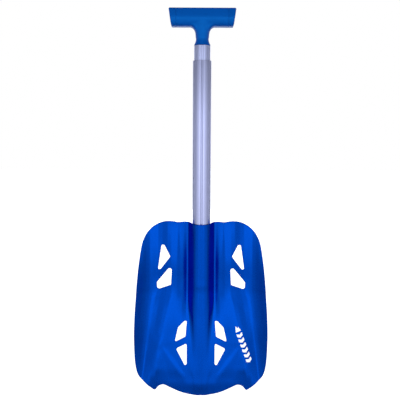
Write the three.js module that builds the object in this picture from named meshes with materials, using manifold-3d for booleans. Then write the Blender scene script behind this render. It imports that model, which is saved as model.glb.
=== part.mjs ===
// Telescopic avalanche shovel: a pressed aluminium blade with a welded socket, two grooved
// telescoping aluminium tubes with sprung lock buttons, and a moulded T-grip.
//
// Millimetres. X to the right, Y from the scoop side to the back, Z along the shaft from the
// blade's tip (Z = 0) up to the grip. The shaft's centre line is X = 0, Y = 0.
import * as THREE from 'three';
import { mergeVertices } from 'three/addons/utils/BufferGeometryUtils.js';
import Module from 'manifold-3d';

// ---------------------------------------------------------------- driving dimensions
const SHEET = 1.8;            // blade sheet thickness
const LOWER = { r: 15.0, wall: 1.5, bottom: 184.0, top: 552.4 };    // lower, outer tube
const UPPER = { r: 13.15, wall: 1.35, bottom: 280.0, top: 576.0 };  // upper, inner tube
const GROOVE = { lowerOut: [1.4, 2.6], lowerIn: [1.4, 3.6], upperOut: [1.55, 4.2], upperIn: [1.55, 5.0] };
const TRAVEL = 212.0;         // telescoping travel between the two lock holes
const LOWER_LOCK_Z = 226.0;   // lock button, shaft to blade
const UPPER_LOCK_Z = 306.0;   // lock button, upper tube to lower tube, shaft collapsed
const LOWER_PIN_R = 4.2, UPPER_PIN_R = 3.9;
const HOLE_CLEAR = 0.45;      // radial clearance of a button in its hole
const SOCKET = { bottom: 180.1, top: 284.0, sheet: 1.8, inner: 15.4, flat: 7.5, footX: 20.3, footY: 4.2 };
const GRIP = { bottom: 605.2, top: 633.7, halfTop: 53.6, halfBottom: 49.7, seam: 41.6, neckR: 10.2 };
const RIVET_Z = 566.0;

// Cross-section control lines of the blade, one list a line, each point [z, x, forward height]:
// they hold on both sides of the centre. Height is measured from the shaft's centre line
// towards the scoop side (-Y).
const RIDGES = [
  // groove
  [[309.2, 0, 16.05], [289.4, 0, 16.05], [269.4, 0, 16.05], [246, 0, 16.05], [220.7, 0, 16.05], [195.3, 0, 16.05], [185.2, 0, 16.35], [174.7, 0, 15.85], [161.3, 0, 16.55], [147.8, 0, 17.35], [134.3, 0, 18.25], [119.2, 0, 19.65], [102.4, 0, 21.35], [84.1, 0, 22.95], [74.1, 0, 23.75], [62.5, 0, 24.65], [52.7, 0, 25.65], [42.9, 0, 26.55], [30.1, 0, 27.85], [18.9, 0, 29.05], [-0.1, 0, 28.35], [-19.3, 0, 28.65]],
  // groove shoulder
  [[309.4, 2.5, 17.4], [289.5, 2.5, 17.4], [269.6, 2.5, 17.4], [246.2, 2.5, 17.4], [221, 2.5, 17.4], [195.6, 2.5, 17.4], [185.4, 2.5, 17.7], [175, 2.5, 17.2], [161.6, 2.5, 17.9], [148.1, 2.5, 18.6], [134.7, 2.5, 19.3], [119.6, 2.5, 20.6], [102.8, 2.5, 22.2], [84.5, 2.5, 23.9], [74.5, 2.5, 24.8], [62.9, 2.5, 25.8], [53.1, 2.5, 26.8], [43.4, 2.5, 27.9], [30.5, 2.5, 29.1], [19.3, 2.5, 30.2], [0.3, 2.5, 29.5], [-18.9, 2.5, 29.7]],
  // crest0
  [[309.2, 5.7, 16.5], [289.4, 5.7, 16.5], [269.4, 5.8, 16.5], [246, 5.8, 16.5], [220.8, 5.8, 16.5], [195.3, 5.8, 16.5], [185.2, 5.8, 16.9], [174.8, 5.8, 16.3], [161.3, 5.8, 17.1], [147.9, 5.8, 17.9], [134.5, 5.8, 18.6], [119.4, 5.8, 20.1], [102.7, 5.8, 21.5], [84.4, 5.8, 23.3], [74.5, 5.8, 24.2], [62.8, 5.8, 25.3], [53.1, 5.8, 26.5], [43.4, 5.8, 27.7], [30.5, 5.8, 29.1], [19.3, 5.8, 30.3], [0.3, 5.8, 29.5], [-18.9, 5.8, 29.8]],
  // crest1
  [[308.9, 9.9, 14.5], [289, 9.9, 14.5], [269, 9.9, 14.5], [245.6, 9.9, 14.5], [220.2, 10, 14.5], [194.8, 10, 14.5], [184.6, 10, 14.8], [174.2, 10.1, 14.4], [160.8, 10.1, 15.4], [147.4, 10.1, 16.3], [134.1, 9.9, 17.2], [119, 9.7, 18.8], [102.4, 9.3, 20.5], [84.2, 8.8, 22.5], [74.3, 8.5, 23.7], [62.7, 8.1, 24.9], [53, 7.7, 26.2], [43.3, 7.2, 27.6], [30.5, 6.6, 29], [19.3, 6.2, 30.2], [0.3, 6.2, 29.5], [-18.9, 6.3, 29.8]],
  // flank1
  [[308.5, 13.2, 11.3], [288.5, 13.3, 11.3], [268.4, 13.3, 11.3], [244.9, 13.3, 11.3], [219.5, 13.4, 11.3], [193.9, 13.4, 11.3], [183.7, 13.4, 11.7], [173.3, 13.5, 11.4], [160, 13.5, 12.8], [146.7, 13.5, 14.1], [133.4, 13.2, 15.4], [118.5, 12.7, 17.3], [101.9, 12, 19.4], [83.9, 11.1, 21.7], [74, 10.6, 23.1], [62.6, 10, 24.5], [52.9, 9.2, 25.9], [43.3, 8.4, 27.4], [30.5, 7.2, 28.9], [19.3, 6.6, 30.2], [0.3, 6.6, 29.5], [-18.9, 6.6, 29.8]],
  // flank2
  [[308, 15.8, 7.8], [287.9, 15.8, 7.8], [267.8, 15.9, 7.8], [244.1, 15.9, 7.8], [218.6, 16, 7.8], [192.9, 16, 7.8], [182.7, 16, 8.1], [172.3, 16.1, 8.1], [159, 16.1, 9.8], [145.8, 16.1, 11], [132.6, 15.7, 12.1], [117.8, 15, 14.6], [101.4, 14.1, 17.7], [83.5, 12.9, 20.9], [73.8, 12.2, 22.5], [62.4, 11.4, 24.2], [52.8, 10.3, 25.7], [43.2, 9.2, 27.3], [30.5, 7.6, 28.9], [19.3, 6.8, 30.2], [0.3, 6.8, 29.5], [-18.9, 6.8, 29.8]],
  // flank3
  [[306.8, 20.3, -0.4], [286.6, 20.4, -0.4], [266.2, 20.4, -0.4], [242.3, 20.5, -0.4], [216.6, 20.5, -0.4], [190.7, 20.6, -0.4], [180.3, 20.6, -0.1], [170, 20.6, 0.4], [156.8, 20.6, 2.8], [143.8, 20.6, 5.6], [130.8, 20.1, 8.7], [116.3, 19.1, 12.5], [100.3, 17.7, 16.4], [82.7, 16, 20], [73.1, 15, 21.7], [61.9, 13.8, 23.7], [52.5, 12.3, 25.4], [43, 10.7, 27], [30.4, 8.4, 28.8], [19.3, 7.3, 30.2], [0.3, 7.3, 29.5], [-18.9, 7.3, 29.8]],
  // crease in
  [[306.6, 21.7, -2.2], [286.3, 21.8, -2.2], [265.9, 21.8, -2.2], [242, 21.9, -2.2], [216.2, 21.9, -2.2], [190.2, 22, -2.2], [179.8, 22.1, -1.9], [169.5, 22.1, -1.3], [156.3, 22, 1.3], [143.4, 22, 5.3], [130.5, 21.5, 9.1], [116, 20.3, 12.9], [100, 18.9, 16.7], [82.5, 16.9, 20.2], [73, 15.8, 21.8], [61.8, 14.5, 23.7], [52.4, 12.9, 25.4], [43, 11.2, 27], [30.4, 8.7, 28.9], [19.3, 7.5, 30.2], [0.3, 7.5, 29.5], [-18.9, 7.5, 29.7]],
  // crease out
  [[306.6, 23.6, -2.2], [286.3, 23.7, -2.2], [265.9, 23.8, -2.2], [242, 23.8, -2.2], [216.2, 23.9, -2.2], [190.2, 24, -2.2], [179.8, 24, -1.9], [169.5, 24, -1.3], [156.3, 24, 1.3], [143.4, 24, 5], [130.5, 23.4, 8.6], [116, 22.2, 12.5], [100, 20.6, 16.5], [82.5, 18.6, 19.9], [73, 17.4, 21.6], [61.8, 16, 23.6], [52.4, 14.3, 25.3], [43, 12.4, 26.9], [30.4, 9.8, 28.8], [19.3, 8.4, 30.2], [0.3, 8.4, 29.5], [-18.9, 8.4, 29.7]],
  // step1
  [[306.9, 29.6, -0.3], [286.6, 29.7, -0.3], [266.3, 29.8, 0.1], [242.4, 29.9, 0.9], [216.6, 30, 1.8], [190.7, 30.1, 1.2], [180.4, 30.1, 1.6], [170, 30.2, 2], [156.9, 31, 4.9], [143.9, 31.8, 8.2], [131.1, 32.2, 11.4], [116.6, 32.2, 14.5], [100.7, 32.1, 17.3], [83.5, 38.8, 20.4], [73.8, 34.2, 21.3], [62.4, 29.6, 22.8], [52.8, 25.4, 24], [43.2, 21.1, 25.4], [30.5, 15.3, 26.9], [19.3, 14.5, 28.2], [0.3, 14.5, 28], [-18.9, 14.6, 28.3]],
  // step2
  [[307, 35.3, -1.2], [286.7, 35.4, -1], [266.4, 35.5, 0.6], [242.5, 35.6, 2.6], [216.8, 35.7, 4.1], [190.9, 35.8, 3.4], [180.6, 35.9, 3.6], [170.4, 35.9, 4.3], [157.3, 37.4, 7], [144.4, 39, 10.3], [131.6, 40.3, 13.3], [117.2, 41.5, 16], [101.3, 42.7, 18.2], [84.8, 63.4, 22.9], [74.9, 54.5, 23.2], [63.2, 46.1, 23.9], [53.4, 38.9, 24.9], [43.5, 31.6, 25.7], [30.5, 22, 26.9], [19.3, 22, 28.2], [0.3, 22, 28], [-18.9, 22.1, 28.3]],
  // step3
  [[307.2, 39.4, 0.1], [287, 39.5, 0.4], [266.7, 39.6, 2.3], [242.9, 39.7, 4.5], [217.2, 39.8, 6], [191.4, 40, 5.3], [181.1, 40, 5.3], [170.9, 40.3, 6.1], [157.8, 42.6, 8.5], [144.9, 44.7, 11.6], [132.1, 46.7, 14.4], [117.6, 48.9, 17], [101.8, 51.1, 19.4], [85, 66.5, 23.3], [75.5, 60.8, 24.5], [64.1, 52.5, 25.7], [54.3, 45.4, 26.8], [44.4, 38.3, 27.5], [31, 28.9, 27.8], [19.3, 28.9, 28.2], [0.3, 29, 28.2], [-18.9, 29.1, 28.5]],
  // rib in
  [[307.2, 41.8, -0.6], [287.1, 42, -0.2], [266.8, 42.1, 2.3], [243, 42.2, 5], [217.3, 42.3, 6.9], [191.5, 42.5, 6.2], [181.2, 42.5, 6.2], [171.1, 43.9, 6.9], [158, 47.4, 9.3], [145.2, 50.5, 12], [132.4, 53.5, 14.8], [118.1, 56.8, 17.5], [102.2, 60.5, 20.2], [85, 68.3, 23.3], [75.2, 63.5, 24.4], [63.8, 60.7, 25.6], [54, 58.3, 26.5], [44.1, 55.9, 27.4], [30.8, 52.8, 27.8], [19.3, 52.8, 28.4], [0.3, 52.9, 28.1], [-18.9, 53, 28.4]],
  // rib out
  [[307.2, 48.6, -0.1], [287, 48.8, 0.2], [266.7, 48.9, 2.5], [242.9, 49.1, 4.8], [217.3, 49.2, 6.3], [191.4, 49.4, 5.4], [181.1, 49.5, 5.6], [171.1, 48.9, 6.6], [158, 51.8, 9.2], [145.2, 54.8, 11.9], [132.4, 57.8, 14.6], [118.1, 61.2, 17.3], [102.3, 64.9, 19.7], [85, 70, 22.8], [75.5, 66.7, 24.5], [64.4, 69.4, 26.7], [54.6, 71.7, 28.1], [44.8, 74.1, 29.5], [31.3, 77.3, 29.5], [19.3, 77.4, 29.4], [0.3, 77.5, 29.1], [-18.9, 77.7, 29.4]],
  // fall1
  [[307, 56.6, -1.7], [286.7, 56.7, -1.4], [266.4, 56.9, 0.5], [242.5, 57.1, 2.4], [216.8, 57.3, 3.7], [190.9, 57.5, 2.9], [180.6, 57.5, 3], [170.5, 57.9, 3.9], [157.4, 60.5, 6.5], [144.5, 63.1, 9.7], [131.7, 65.6, 12.6], [117.3, 68.4, 15.5], [101.4, 71.5, 18], [84.9, 70.3, 22.9], [75.4, 71.2, 24.3], [64.3, 73.9, 26.2], [54.5, 76.2, 27.3], [44.7, 78.6, 28.5], [31.1, 81.8, 28.5], [19.2, 81.9, 28.4], [0.2, 82.1, 28.6], [-19, 82.2, 28.9]],
  // fall2
  [[306.6, 64.2, -4.7], [286.3, 64.4, -4.4], [265.9, 64.6, -2.6], [242, 64.8, -0.5], [216.2, 65, 1], [190.2, 65.2, 0], [179.9, 65.3, 0.1], [169.6, 67.8, 0.6], [156.5, 70.8, 3.2], [143.5, 72.8, 6.3], [130.7, 74.9, 9.4], [116.2, 77.2, 12.4], [100.2, 79.8, 15.2], [84.1, 74.2, 21.6], [74.3, 76.5, 23], [63, 79.2, 24.7], [53.2, 81.5, 26], [43.4, 83.8, 27.1], [30.6, 87, 28.3], [19.3, 86.9, 29.3], [0.3, 87.1, 28.5], [-18.9, 87.2, 28.8]],
  // floor in
  [[306.3, 72.8, -7.3], [286, 72.9, -6.9], [265.6, 73.1, -5], [241.6, 73.4, -2.7], [215.7, 73.6, -1.5], [189.7, 73.9, -2.5], [179.3, 74, -2.3], [169, 76.4, -1.7], [155.8, 78.9, 1.1], [142.9, 80.5, 4.6], [129.9, 82.1, 7.7], [115.4, 83.8, 10.7], [99.4, 85.8, 13.2], [81.8, 87.6, 15.7], [72.4, 88.6, 17.6], [61.4, 89.9, 19.6], [52, 90.9, 21.7], [42.7, 92, 23.7], [30.3, 93.5, 26], [19.2, 94.4, 27.5], [0.2, 94.6, 27.4], [-19, 94.8, 27.7]],
  // floor out
  [[306.3, 78.6, -7.4], [286, 78.8, -7], [265.6, 79, -5], [241.6, 79.3, -3], [215.7, 79.6, -2], [189.7, 79.8, -3.1], [179.3, 79.9, -2.8], [169, 81, -2], [155.8, 83, 0.6], [142.8, 84.6, 3.9], [129.9, 86.1, 6.9], [115.4, 87.9, 9.8], [99.3, 89.8, 12], [81.8, 92, 14.3], [72.4, 93, 15.9], [61.3, 94.2, 17.6], [52, 95.3, 19.6], [42.7, 96.3, 21.5], [30.3, 97.8, 24.1], [19.2, 98.7, 25.9], [0.2, 98.9, 26.6], [-19, 99.1, 26.9]],
  // wing1
  [[306.3, 85.3, -6.3], [286, 85.5, -6], [265.7, 85.7, -4.1], [241.8, 86, -2.1], [216, 86.2, -0.4], [190, 86.5, -0.6], [179.6, 86.5, -0.3], [169.3, 87.4, 0.4], [156.1, 89.1, 3.1], [143.2, 90.4, 6.2], [130.2, 91.6, 9.2], [115.7, 93.1, 12], [99.7, 95, 14.4], [82.2, 97.1, 17], [72.7, 98.2, 18.8], [61.7, 99.4, 20.9], [52.4, 100.4, 22.9], [43, 101.5, 24.9], [30.5, 103, 27], [19.3, 103.9, 28.2], [0.2, 104.1, 27.8], [-19, 104.3, 28.1]],
  // wing2
  [[306.4, 91.1, -4.7], [286.2, 91.3, -4.2], [265.9, 91.5, -1.6], [242.1, 91.7, 1.4], [216.5, 91.9, 3.4], [190.7, 92.2, 3.2], [180.4, 92.1, 3.5], [170.1, 92.8, 4], [156.9, 94.3, 6.4], [143.9, 95.3, 9.5], [131, 96.3, 12.4], [116.4, 97.5, 15], [100.5, 99.4, 17.6], [83, 101.4, 20.3], [73.6, 102.5, 22.1], [62.5, 103.7, 24.2], [53.2, 104.7, 26.1], [43.7, 105.8, 27.7], [31, 107.4, 29], [19.5, 108.4, 29.3], [0.3, 108.6, 28.1], [-18.9, 108.9, 28.4]],
  // wing3
  [[306.6, 96.8, -2.8], [286.4, 97, -2], [266.2, 97.1, 1.4], [242.7, 97.2, 5.2], [217.4, 97.4, 7.8], [191.9, 97.6, 7.7], [181.6, 97.5, 7.8], [171.3, 98, 8], [158.1, 99.2, 10.2], [145.1, 100, 13], [132.2, 100.8, 15.7], [117.7, 101.7, 18.3], [101.8, 103.5, 20.9], [84.4, 105.6, 23.8], [74.9, 106.7, 25.4], [63.9, 107.9, 27.5], [54.5, 108.9, 29.1], [44.9, 110, 30.3], [31.8, 111.7, 30.5], [19.8, 112.9, 29.8], [0.5, 113.2, 28.3], [-18.7, 113.4, 28.7]],
  // wing4
  [[306.7, 102.5, -2.9], [286.6, 102.7, -1.9], [266.6, 102.7, 2.4], [243.5, 102.7, 7.7], [218.5, 102.8, 11.9], [193.2, 102.9, 12.8], [183, 102.8, 12.8], [172.7, 103.1, 12.8], [159.5, 104.1, 14.8], [146.5, 104.6, 17.4], [133.6, 105.2, 19.9], [119.1, 105.8, 22], [103.2, 107.6, 24.5], [85.9, 109.7, 27.1], [76.5, 110.7, 28.6], [65.5, 111.9, 30.3], [56, 113, 31.8], [46.3, 114.1, 32.6], [32.7, 116, 32], [20.2, 117.3, 30.2], [0.7, 117.7, 28.7], [-18.5, 117.9, 29]],
  // wing5
  [[307.2, 121.2, 0.4], [287.3, 121.3, 2.2], [268, 120.9, 9], [245.8, 120.4, 17.5], [222, 119.9, 24.9], [197.8, 119.8, 28.4], [187.7, 119.5, 28.1], [177.4, 119.4, 27.7], [164.3, 119.6, 28.9], [151.3, 119.4, 30.8], [138.3, 119.2, 32.7], [123.8, 118.9, 34.2], [108.2, 120.7, 37], [91.2, 122.7, 39.7], [81.8, 123.7, 40.9], [70.8, 125, 42.3], [61.2, 126.1, 43], [50.9, 127.4, 42.5], [35.7, 129.8, 38.4], [21.4, 131.8, 32.7], [1.4, 132.4, 30.1], [-17.8, 132.7, 30.4]],
];
const OUTLINE = [[0.0,287.4], [4.9,287.6], [9.8,287.8], [14.0,288.3], [17.4,289.5], [20.0,289.9], [23.4,290.1], [27.6,290.6], [31.7,290.4], [35.9,289.6], [40.0,289.8], [44.1,290.7], [48.3,291.4], [55.0,291.5], [60.1,290.9], [64.4,289.8], [68.7,288.3], [71.8,286.9], [81.0,281.8], [86.4,276.7], [90.8,271.8], [93.6,266.9], [96.1,262.0], [97.8,257.1], [99.2,252.2], [100.9,242.4], [102.3,232.6], [103.5,222.8], [104.7,213.0], [105.6,203.2], [106.5,193.3], [107.4,183.4], [108.1,173.3], [108.6,163.4], [109.2,153.8], [109.8,144.1], [110.2,134.5], [110.5,124.8], [110.8,115.1], [111.1,100.5], [110.8,85.5], [110.5,75.6], [110.1,65.6], [109.2,55.4], [107.6,45.0], [106.3,39.8], [104.6,34.7], [101.7,29.6], [97.6,24.7], [92.0,20.0], [85.5,14.9], [82.1,12.3], [78.3,10.0], [76.6,9.7], [75.0,10.7], [72.8,13.8], [70.3,16.6], [67.1,18.2], [63.8,18.9], [60.8,18.6], [57.5,17.0], [53.3,14.8], [48.3,12.2], [43.3,9.8], [38.3,7.4], [33.3,5.5], [26.7,3.4], [20.0,1.8], [13.3,0.8], [6.7,0.3], [0.0,0.0]];
const CUTOUTS = {
  ua: [[66.6,250.8], [62.0,251.1], [51.5,232.1], [68.9,208.7], [72.8,209.0]],
  ub: [[54.4,212.2], [49.1,211.6], [50.5,183.6], [71.3,174.8], [74.5,176.8], [74.9,185.9]],
  la: [[28.0,122.9], [23.6,123.1], [25.7,97.6], [41.7,90.2], [43.2,91.5], [38.1,113.5]],
  lb: [[25.0,86.1], [23.5,84.3], [23.4,51.8], [26.7,50.2], [41.6,78.3]],
};

// The relief is rounded by this much, as a press tool's radii round it.
const ROUND_X = 1.0, ROUND_Z = 3.5;

// ---------------------------------------------------------------- helpers
const wasm = await Module();
wasm.setup();

function solid(geometry) {
  const g = geometry.clone();
  g.deleteAttribute('normal');
  g.deleteAttribute('uv');
  const m = mergeVertices(g, 1e-4);
  return new wasm.Manifold(new wasm.Mesh({
    numProp: 3,
    vertProperties: new Float32Array(m.attributes.position.array),
    triVerts: new Uint32Array(m.index.array),
  }));
}

function geometryOf(manifold) {
  const mesh = manifold.getMesh();
  const g = new THREE.BufferGeometry();
  g.setAttribute('position', new THREE.BufferAttribute(new Float32Array(mesh.vertProperties), 3));
  g.setIndex(new THREE.BufferAttribute(new Uint32Array(mesh.triVerts), 1));
  g.computeVertexNormals();
  return g;
}

const finish = (color, roughness, metalness) =>
  new THREE.MeshStandardMaterial({ color, roughness, metalness });
const BLUE_METAL = finish(0x0a4fc0, 0.42, 0.85);
const SATIN_ALUMINIUM = finish(0xa9afd6, 0.35, 1.0);
const WELD = finish(0x1b4aa6, 0.5, 0.9);
const BLUE_PLASTIC = finish(0x0350a8, 0.5, 0.0);
const BLACK_PLASTIC = finish(0x17181a, 0.6, 0.0);
const STEEL = finish(0xb8babd, 0.28, 1.0);

const root = new THREE.Group();
function part(name, geometry, material, parent = root) {
  const mesh = new THREE.Mesh(geometry, material);
  mesh.name = name;
  parent.add(mesh);
  return mesh;
}

// A round section with one rounded key groove at the front (-Y), as a closed point list.
function grooved(r, depth, halfWidth, segments = 40) {
  const pts = [];
  const gap = Math.asin(halfWidth / r);
  for (const t of [-1, -0.72, -0.45, -0.2, 0, 0.2, 0.45, 0.72]) {
    const a = -Math.PI / 2 + t * gap;
    const rr = r - depth * 0.5 * (1 + Math.cos(Math.PI * t));
    pts.push(new THREE.Vector2(rr * Math.cos(a), rr * Math.sin(a)));
  }
  const span = 2 * Math.PI - 2 * gap;
  for (let i = 0; i < segments; i++) {
    const a = -Math.PI / 2 + gap + (span * i) / segments;
    pts.push(new THREE.Vector2(r * Math.cos(a), r * Math.sin(a)));
  }
  return pts;
}

function prismZ(outer, inner, z0, z1) {
  const shape = new THREE.Shape(outer);
  if (inner) shape.holes.push(new THREE.Path(inner));
  const g = new THREE.ExtrudeGeometry(shape, { depth: z1 - z0, bevelEnabled: false, steps: 1 });
  g.translate(0, 0, z0);
  return g;
}

// Shape drawn in (Y, Z) and extruded along X, centred on X = cx.
function prismX(points, width, cx = 0) {
  const g = new THREE.ExtrudeGeometry(new THREE.Shape(points), { depth: width, bevelEnabled: false, steps: 1 });
  g.translate(0, 0, -width / 2);
  g.applyMatrix4(new THREE.Matrix4().set(0, 0, 1, cx, 1, 0, 0, 0, 0, 1, 0, 0, 0, 0, 0, 1));
  return g;
}

// Cylinder along Y.
function pinY(r, y0, y1, z, segments = 24) {
  const g = new THREE.CylinderGeometry(r, r, y1 - y0, segments);
  g.translate(0, (y0 + y1) / 2, z);
  return g;
}

// Lathe about an axis along Y through (0, *, z): profile points are [radius, y].
function latheY(profile, z, segments = 24) {
  const g = new THREE.LatheGeometry(profile.map(([r, y]) => new THREE.Vector2(r, y)), segments);
  g.translate(0, 0, z);
  return g;
}

// Lathe about the shaft's axis: profile points are [radius, z].
function latheZ(profile, segments = 36) {
  const g = new THREE.LatheGeometry(profile.map(([r, z]) => new THREE.Vector2(r, z)), segments);
  g.rotateX(Math.PI / 2);
  return g;
}

// ---------------------------------------------------------------- blade relief
function interp(rows, z, column) {
  // rows run from high z to low z
  if (z >= rows[0][0]) return rows[0][column];
  for (let i = 1; i < rows.length; i++) {
    if (z >= rows[i][0]) {
      const t = (rows[i - 1][0] - z) / (rows[i - 1][0] - rows[i][0]);
      return rows[i - 1][column] * (1 - t) + rows[i][column] * t;
    }
  }
  return rows[rows.length - 1][column];
}

const NX = 125, STEP_X = 1, Z_LOW = -12, NZ = 340, STEP_Z = 1;
function rawRow(z) {
  const xs = RIDGES.map((l) => interp(l, z, 1));
  const hs = RIDGES.map((l) => interp(l, z, 2));
  const row = new Float64Array(NX + 1);
  for (let i = 0; i <= NX; i++) {
    const x = i * STEP_X;
    let k = 0;
    while (k < xs.length - 2 && xs[k + 1] < x) k++;
    const t = Math.min(1, Math.max(0, (x - xs[k]) / Math.max(1e-6, xs[k + 1] - xs[k])));
    row[i] = hs[k] * (1 - t) + hs[k + 1] * t;
  }
  return row;
}
function kernel(sigma, step) {
  const n = Math.floor((3 * sigma) / step) + 1;
  const w = [];
  for (let i = -n; i <= n; i++) w.push(Math.exp(-((i * step) ** 2) / (2 * sigma * sigma)));
  const sum = w.reduce((a, b) => a + b, 0);
  return w.map((v) => v / sum);
}
const grid = [];
for (let k = 0; k < NZ; k++) grid.push(rawRow(Z_LOW + k * STEP_Z));
const kx = kernel(ROUND_X, STEP_X), kz = kernel(ROUND_Z, STEP_Z);
const acrossX = grid.map((row) => row.map((_, i) => {
  let s = 0;
  const n = (kx.length - 1) / 2;
  for (let j = -n; j <= n; j++) s += kx[j + n] * row[Math.min(NX, Math.abs(i + j))];
  return s;
}));
const relief = acrossX.map((row, k) => row.map((_, i) => {
  let s = 0;
  const n = (kz.length - 1) / 2;
  for (let j = -n; j <= n; j++) s += kz[j + n] * acrossX[Math.min(NZ - 1, Math.max(0, k + j))][i];
  return s;
}));
function height(x, z) {
  const fx = Math.min(NX - 1e-6, Math.abs(x) / STEP_X), fz = Math.min(NZ - 1 - 1e-6, Math.max(0, (z - Z_LOW) / STEP_Z));
  const i = Math.floor(fx), k = Math.floor(fz), a = fx - i, b = fz - k;
  return (relief[k][i] * (1 - a) + relief[k][i + 1] * a) * (1 - b) + (relief[k + 1][i] * (1 - a) + relief[k + 1][i + 1] * a) * b;
}

// ---------------------------------------------------------------- blade
const COLUMNS = [0, 1.6, 3.2, 6.5, 10, 13.5, 16.5, 19.5, 21.6, 24.2, 30.3, 36, 40.2, 43.5, 49, 55, 61, 67, 73, 79, 85, 91, 97, 103, 109, 115];
const ROWS = [-6, 8, 20, 30, 42, 54, 66, 78, 90, 104, 118, 132, 146, 158, 168, 178, 190, 210, 230, 250, 268, 282, 297];
const allColumns = [...COLUMNS.slice(1).reverse().map((x) => -x), ...COLUMNS];

const sheet = new THREE.BoxGeometry(1, 1, 1, allColumns.length - 1, 1, ROWS.length - 1);
{
  const p = sheet.attributes.position;
  for (let v = 0; v < p.count; v++) {
    const x = allColumns[Math.round((p.getX(v) + 0.5) * (allColumns.length - 1))];
    const z = ROWS[Math.round((p.getZ(v) + 0.5) * (ROWS.length - 1))];
    const h = height(x, z);
    let pos = [x, -h, z];
    if (p.getY(v) > 0) {
      const dx = (height(x + 0.75, z) - height(x - 0.75, z)) / 1.5;
      const dz = (height(x, z + 2) - height(x, z - 2)) / 4;
      const l = Math.hypot(dx, 1, dz);
      pos = [x + (SHEET * dx) / l, -h + SHEET / l, z + (SHEET * dz) / l];
    }
    p.setXYZ(v, ...pos);
  }
}
// Outline and cut-outs, punched straight through along Y.
const half = OUTLINE;
const loop = [...half.map(([x, z]) => new THREE.Vector2(x, z)),
  ...half.slice(1, -1).reverse().map(([x, z]) => new THREE.Vector2(-x, z))];
const blank = new THREE.Shape(loop.slice().reverse());
function rounded(points, r) {
  const out = [];
  const n = points.length;
  for (let i = 0; i < n; i++) {
    const p = new THREE.Vector2(...points[i]);
    const a = new THREE.Vector2(...points[(i + n - 1) % n]).sub(p);
    const b = new THREE.Vector2(...points[(i + 1) % n]).sub(p);
    const cut = Math.min(r, a.length() * 0.45, b.length() * 0.45);
    a.setLength(cut).add(p);
    b.setLength(cut).add(p);
    for (const t of [0, 0.5, 1]) {
      out.push(new THREE.Vector2(
        (1 - t) * (1 - t) * a.x + 2 * t * (1 - t) * p.x + t * t * b.x,
        (1 - t) * (1 - t) * a.y + 2 * t * (1 - t) * p.y + t * t * b.y));
    }
  }
  return out;
}
for (const points of Object.values(CUTOUTS)) {
  for (const side of [1, -1]) {
    blank.holes.push(new THREE.Path(rounded(points.map(([x, z]) => [x * side, z]), 3)));
  }
}
const punch = new THREE.ExtrudeGeometry(blank, { depth: 110, bevelEnabled: false, steps: 1 });
punch.rotateX(Math.PI / 2);
punch.translate(0, 40, 0);
const blade = part('blade', geometryOf(solid(sheet).intersect(solid(punch))), BLUE_METAL);

// ---------------------------------------------------------------- socket at the blade's back
{
  const s = SOCKET;
  const inner = [[-s.footX, s.footY], [-s.flat, s.inner], [s.flat, s.inner], [s.footX, s.footY]];
  const outer = [[s.footX + 2.6, s.footY], [s.flat + 0.8, s.inner + s.sheet], [-s.flat - 0.8, s.inner + s.sheet], [-s.footX - 2.6, s.footY]];
  const wall = prismZ([...inner, ...outer].map((p) => new THREE.Vector2(...p)), null, s.bottom, s.top);
  const stop = prismZ([[-12, 2], [12, 2], [9, 13], [s.flat, s.inner + 0.6], [-s.flat, s.inner + 0.6], [-9, 13]]
    .map((p) => new THREE.Vector2(...p)), null, s.bottom, s.bottom + 1.8);
  const channel = solid(wall).add(solid(stop)).subtract(solid(pinY(LOWER_PIN_R + HOLE_CLEAR, 12, 22, LOWER_LOCK_Z)));
  part('socket_channel', geometryOf(channel), BLUE_METAL);
}
for (const [name, side] of [['socket_weld_left', -1], ['socket_weld_right', 1]]) {
  const bead = [[23.55, 4.3], [27.0, 3.8], [26.6, 4.9], [25.0, 6.1], [22.7, 6.9], [20.7, 6.8]].map(([x, y]) => new THREE.Vector2(side * x, y));
  part(name, prismZ(bead, null, 188, 281), WELD);
}

// ---------------------------------------------------------------- lower tube
{
  const rIn = LOWER.r - LOWER.wall;
  const tube = solid(prismZ(grooved(LOWER.r, ...GROOVE.lowerOut), grooved(rIn, ...GROOVE.lowerIn), LOWER.bottom, LOWER.top));
  const holes = solid(pinY(LOWER_PIN_R + HOLE_CLEAR, 5, 20, LOWER_LOCK_Z))
    .add(solid(pinY(UPPER_PIN_R + HOLE_CLEAR, 5, 20, UPPER_LOCK_Z)))
    .add(solid(pinY(UPPER_PIN_R + HOLE_CLEAR, 5, 20, UPPER_LOCK_Z + TRAVEL)));
  part('lower_shaft_tube', geometryOf(tube.subtract(holes)), SATIN_ALUMINIUM);

  const body = solid(prismZ(grooved(rIn - 0.3, 1.4, 3.8, 28), null, LOWER.bottom - 0.5, 194));
  const flange = solid(prismZ(grooved(14.9, 1.4, 2.6, 28), null, 182.2, 183.7));
  const pocket = solid(latheZ([[0, 186], [9, 186], [9, 196], [0, 196]], 24));
  part('lower_end_plug', geometryOf(body.add(flange).subtract(pocket)), BLACK_PLASTIC);
}

// ---------------------------------------------------------------- upper tube
{
  const rIn = UPPER.r - UPPER.wall;
  const tube = solid(prismZ(grooved(UPPER.r, ...GROOVE.upperOut), grooved(rIn, ...GROOVE.upperIn), UPPER.bottom, UPPER.top));
  const holes = solid(pinY(UPPER_PIN_R + HOLE_CLEAR, 5, 20, UPPER_LOCK_Z)).add(solid(pinY(2.3, 5, 20, RIVET_Z, 16)));
  part('upper_shaft_tube', geometryOf(tube.subtract(holes)), SATIN_ALUMINIUM);

  const body = solid(prismZ(grooved(rIn - 0.3, 1.6, 5.2, 28), null, UPPER.bottom - 0.5, 292));
  const flange = solid(prismZ(grooved(13.0, 1.6, 4.4, 28), null, 278.2, 279.7));
  const bore = solid(latheZ([[0, 276], [7.5, 276], [7.5, 294], [0, 294]], 24));
  part('upper_guide_plug', geometryOf(body.add(flange).subtract(bore)), BLACK_PLASTIC);
}

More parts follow.
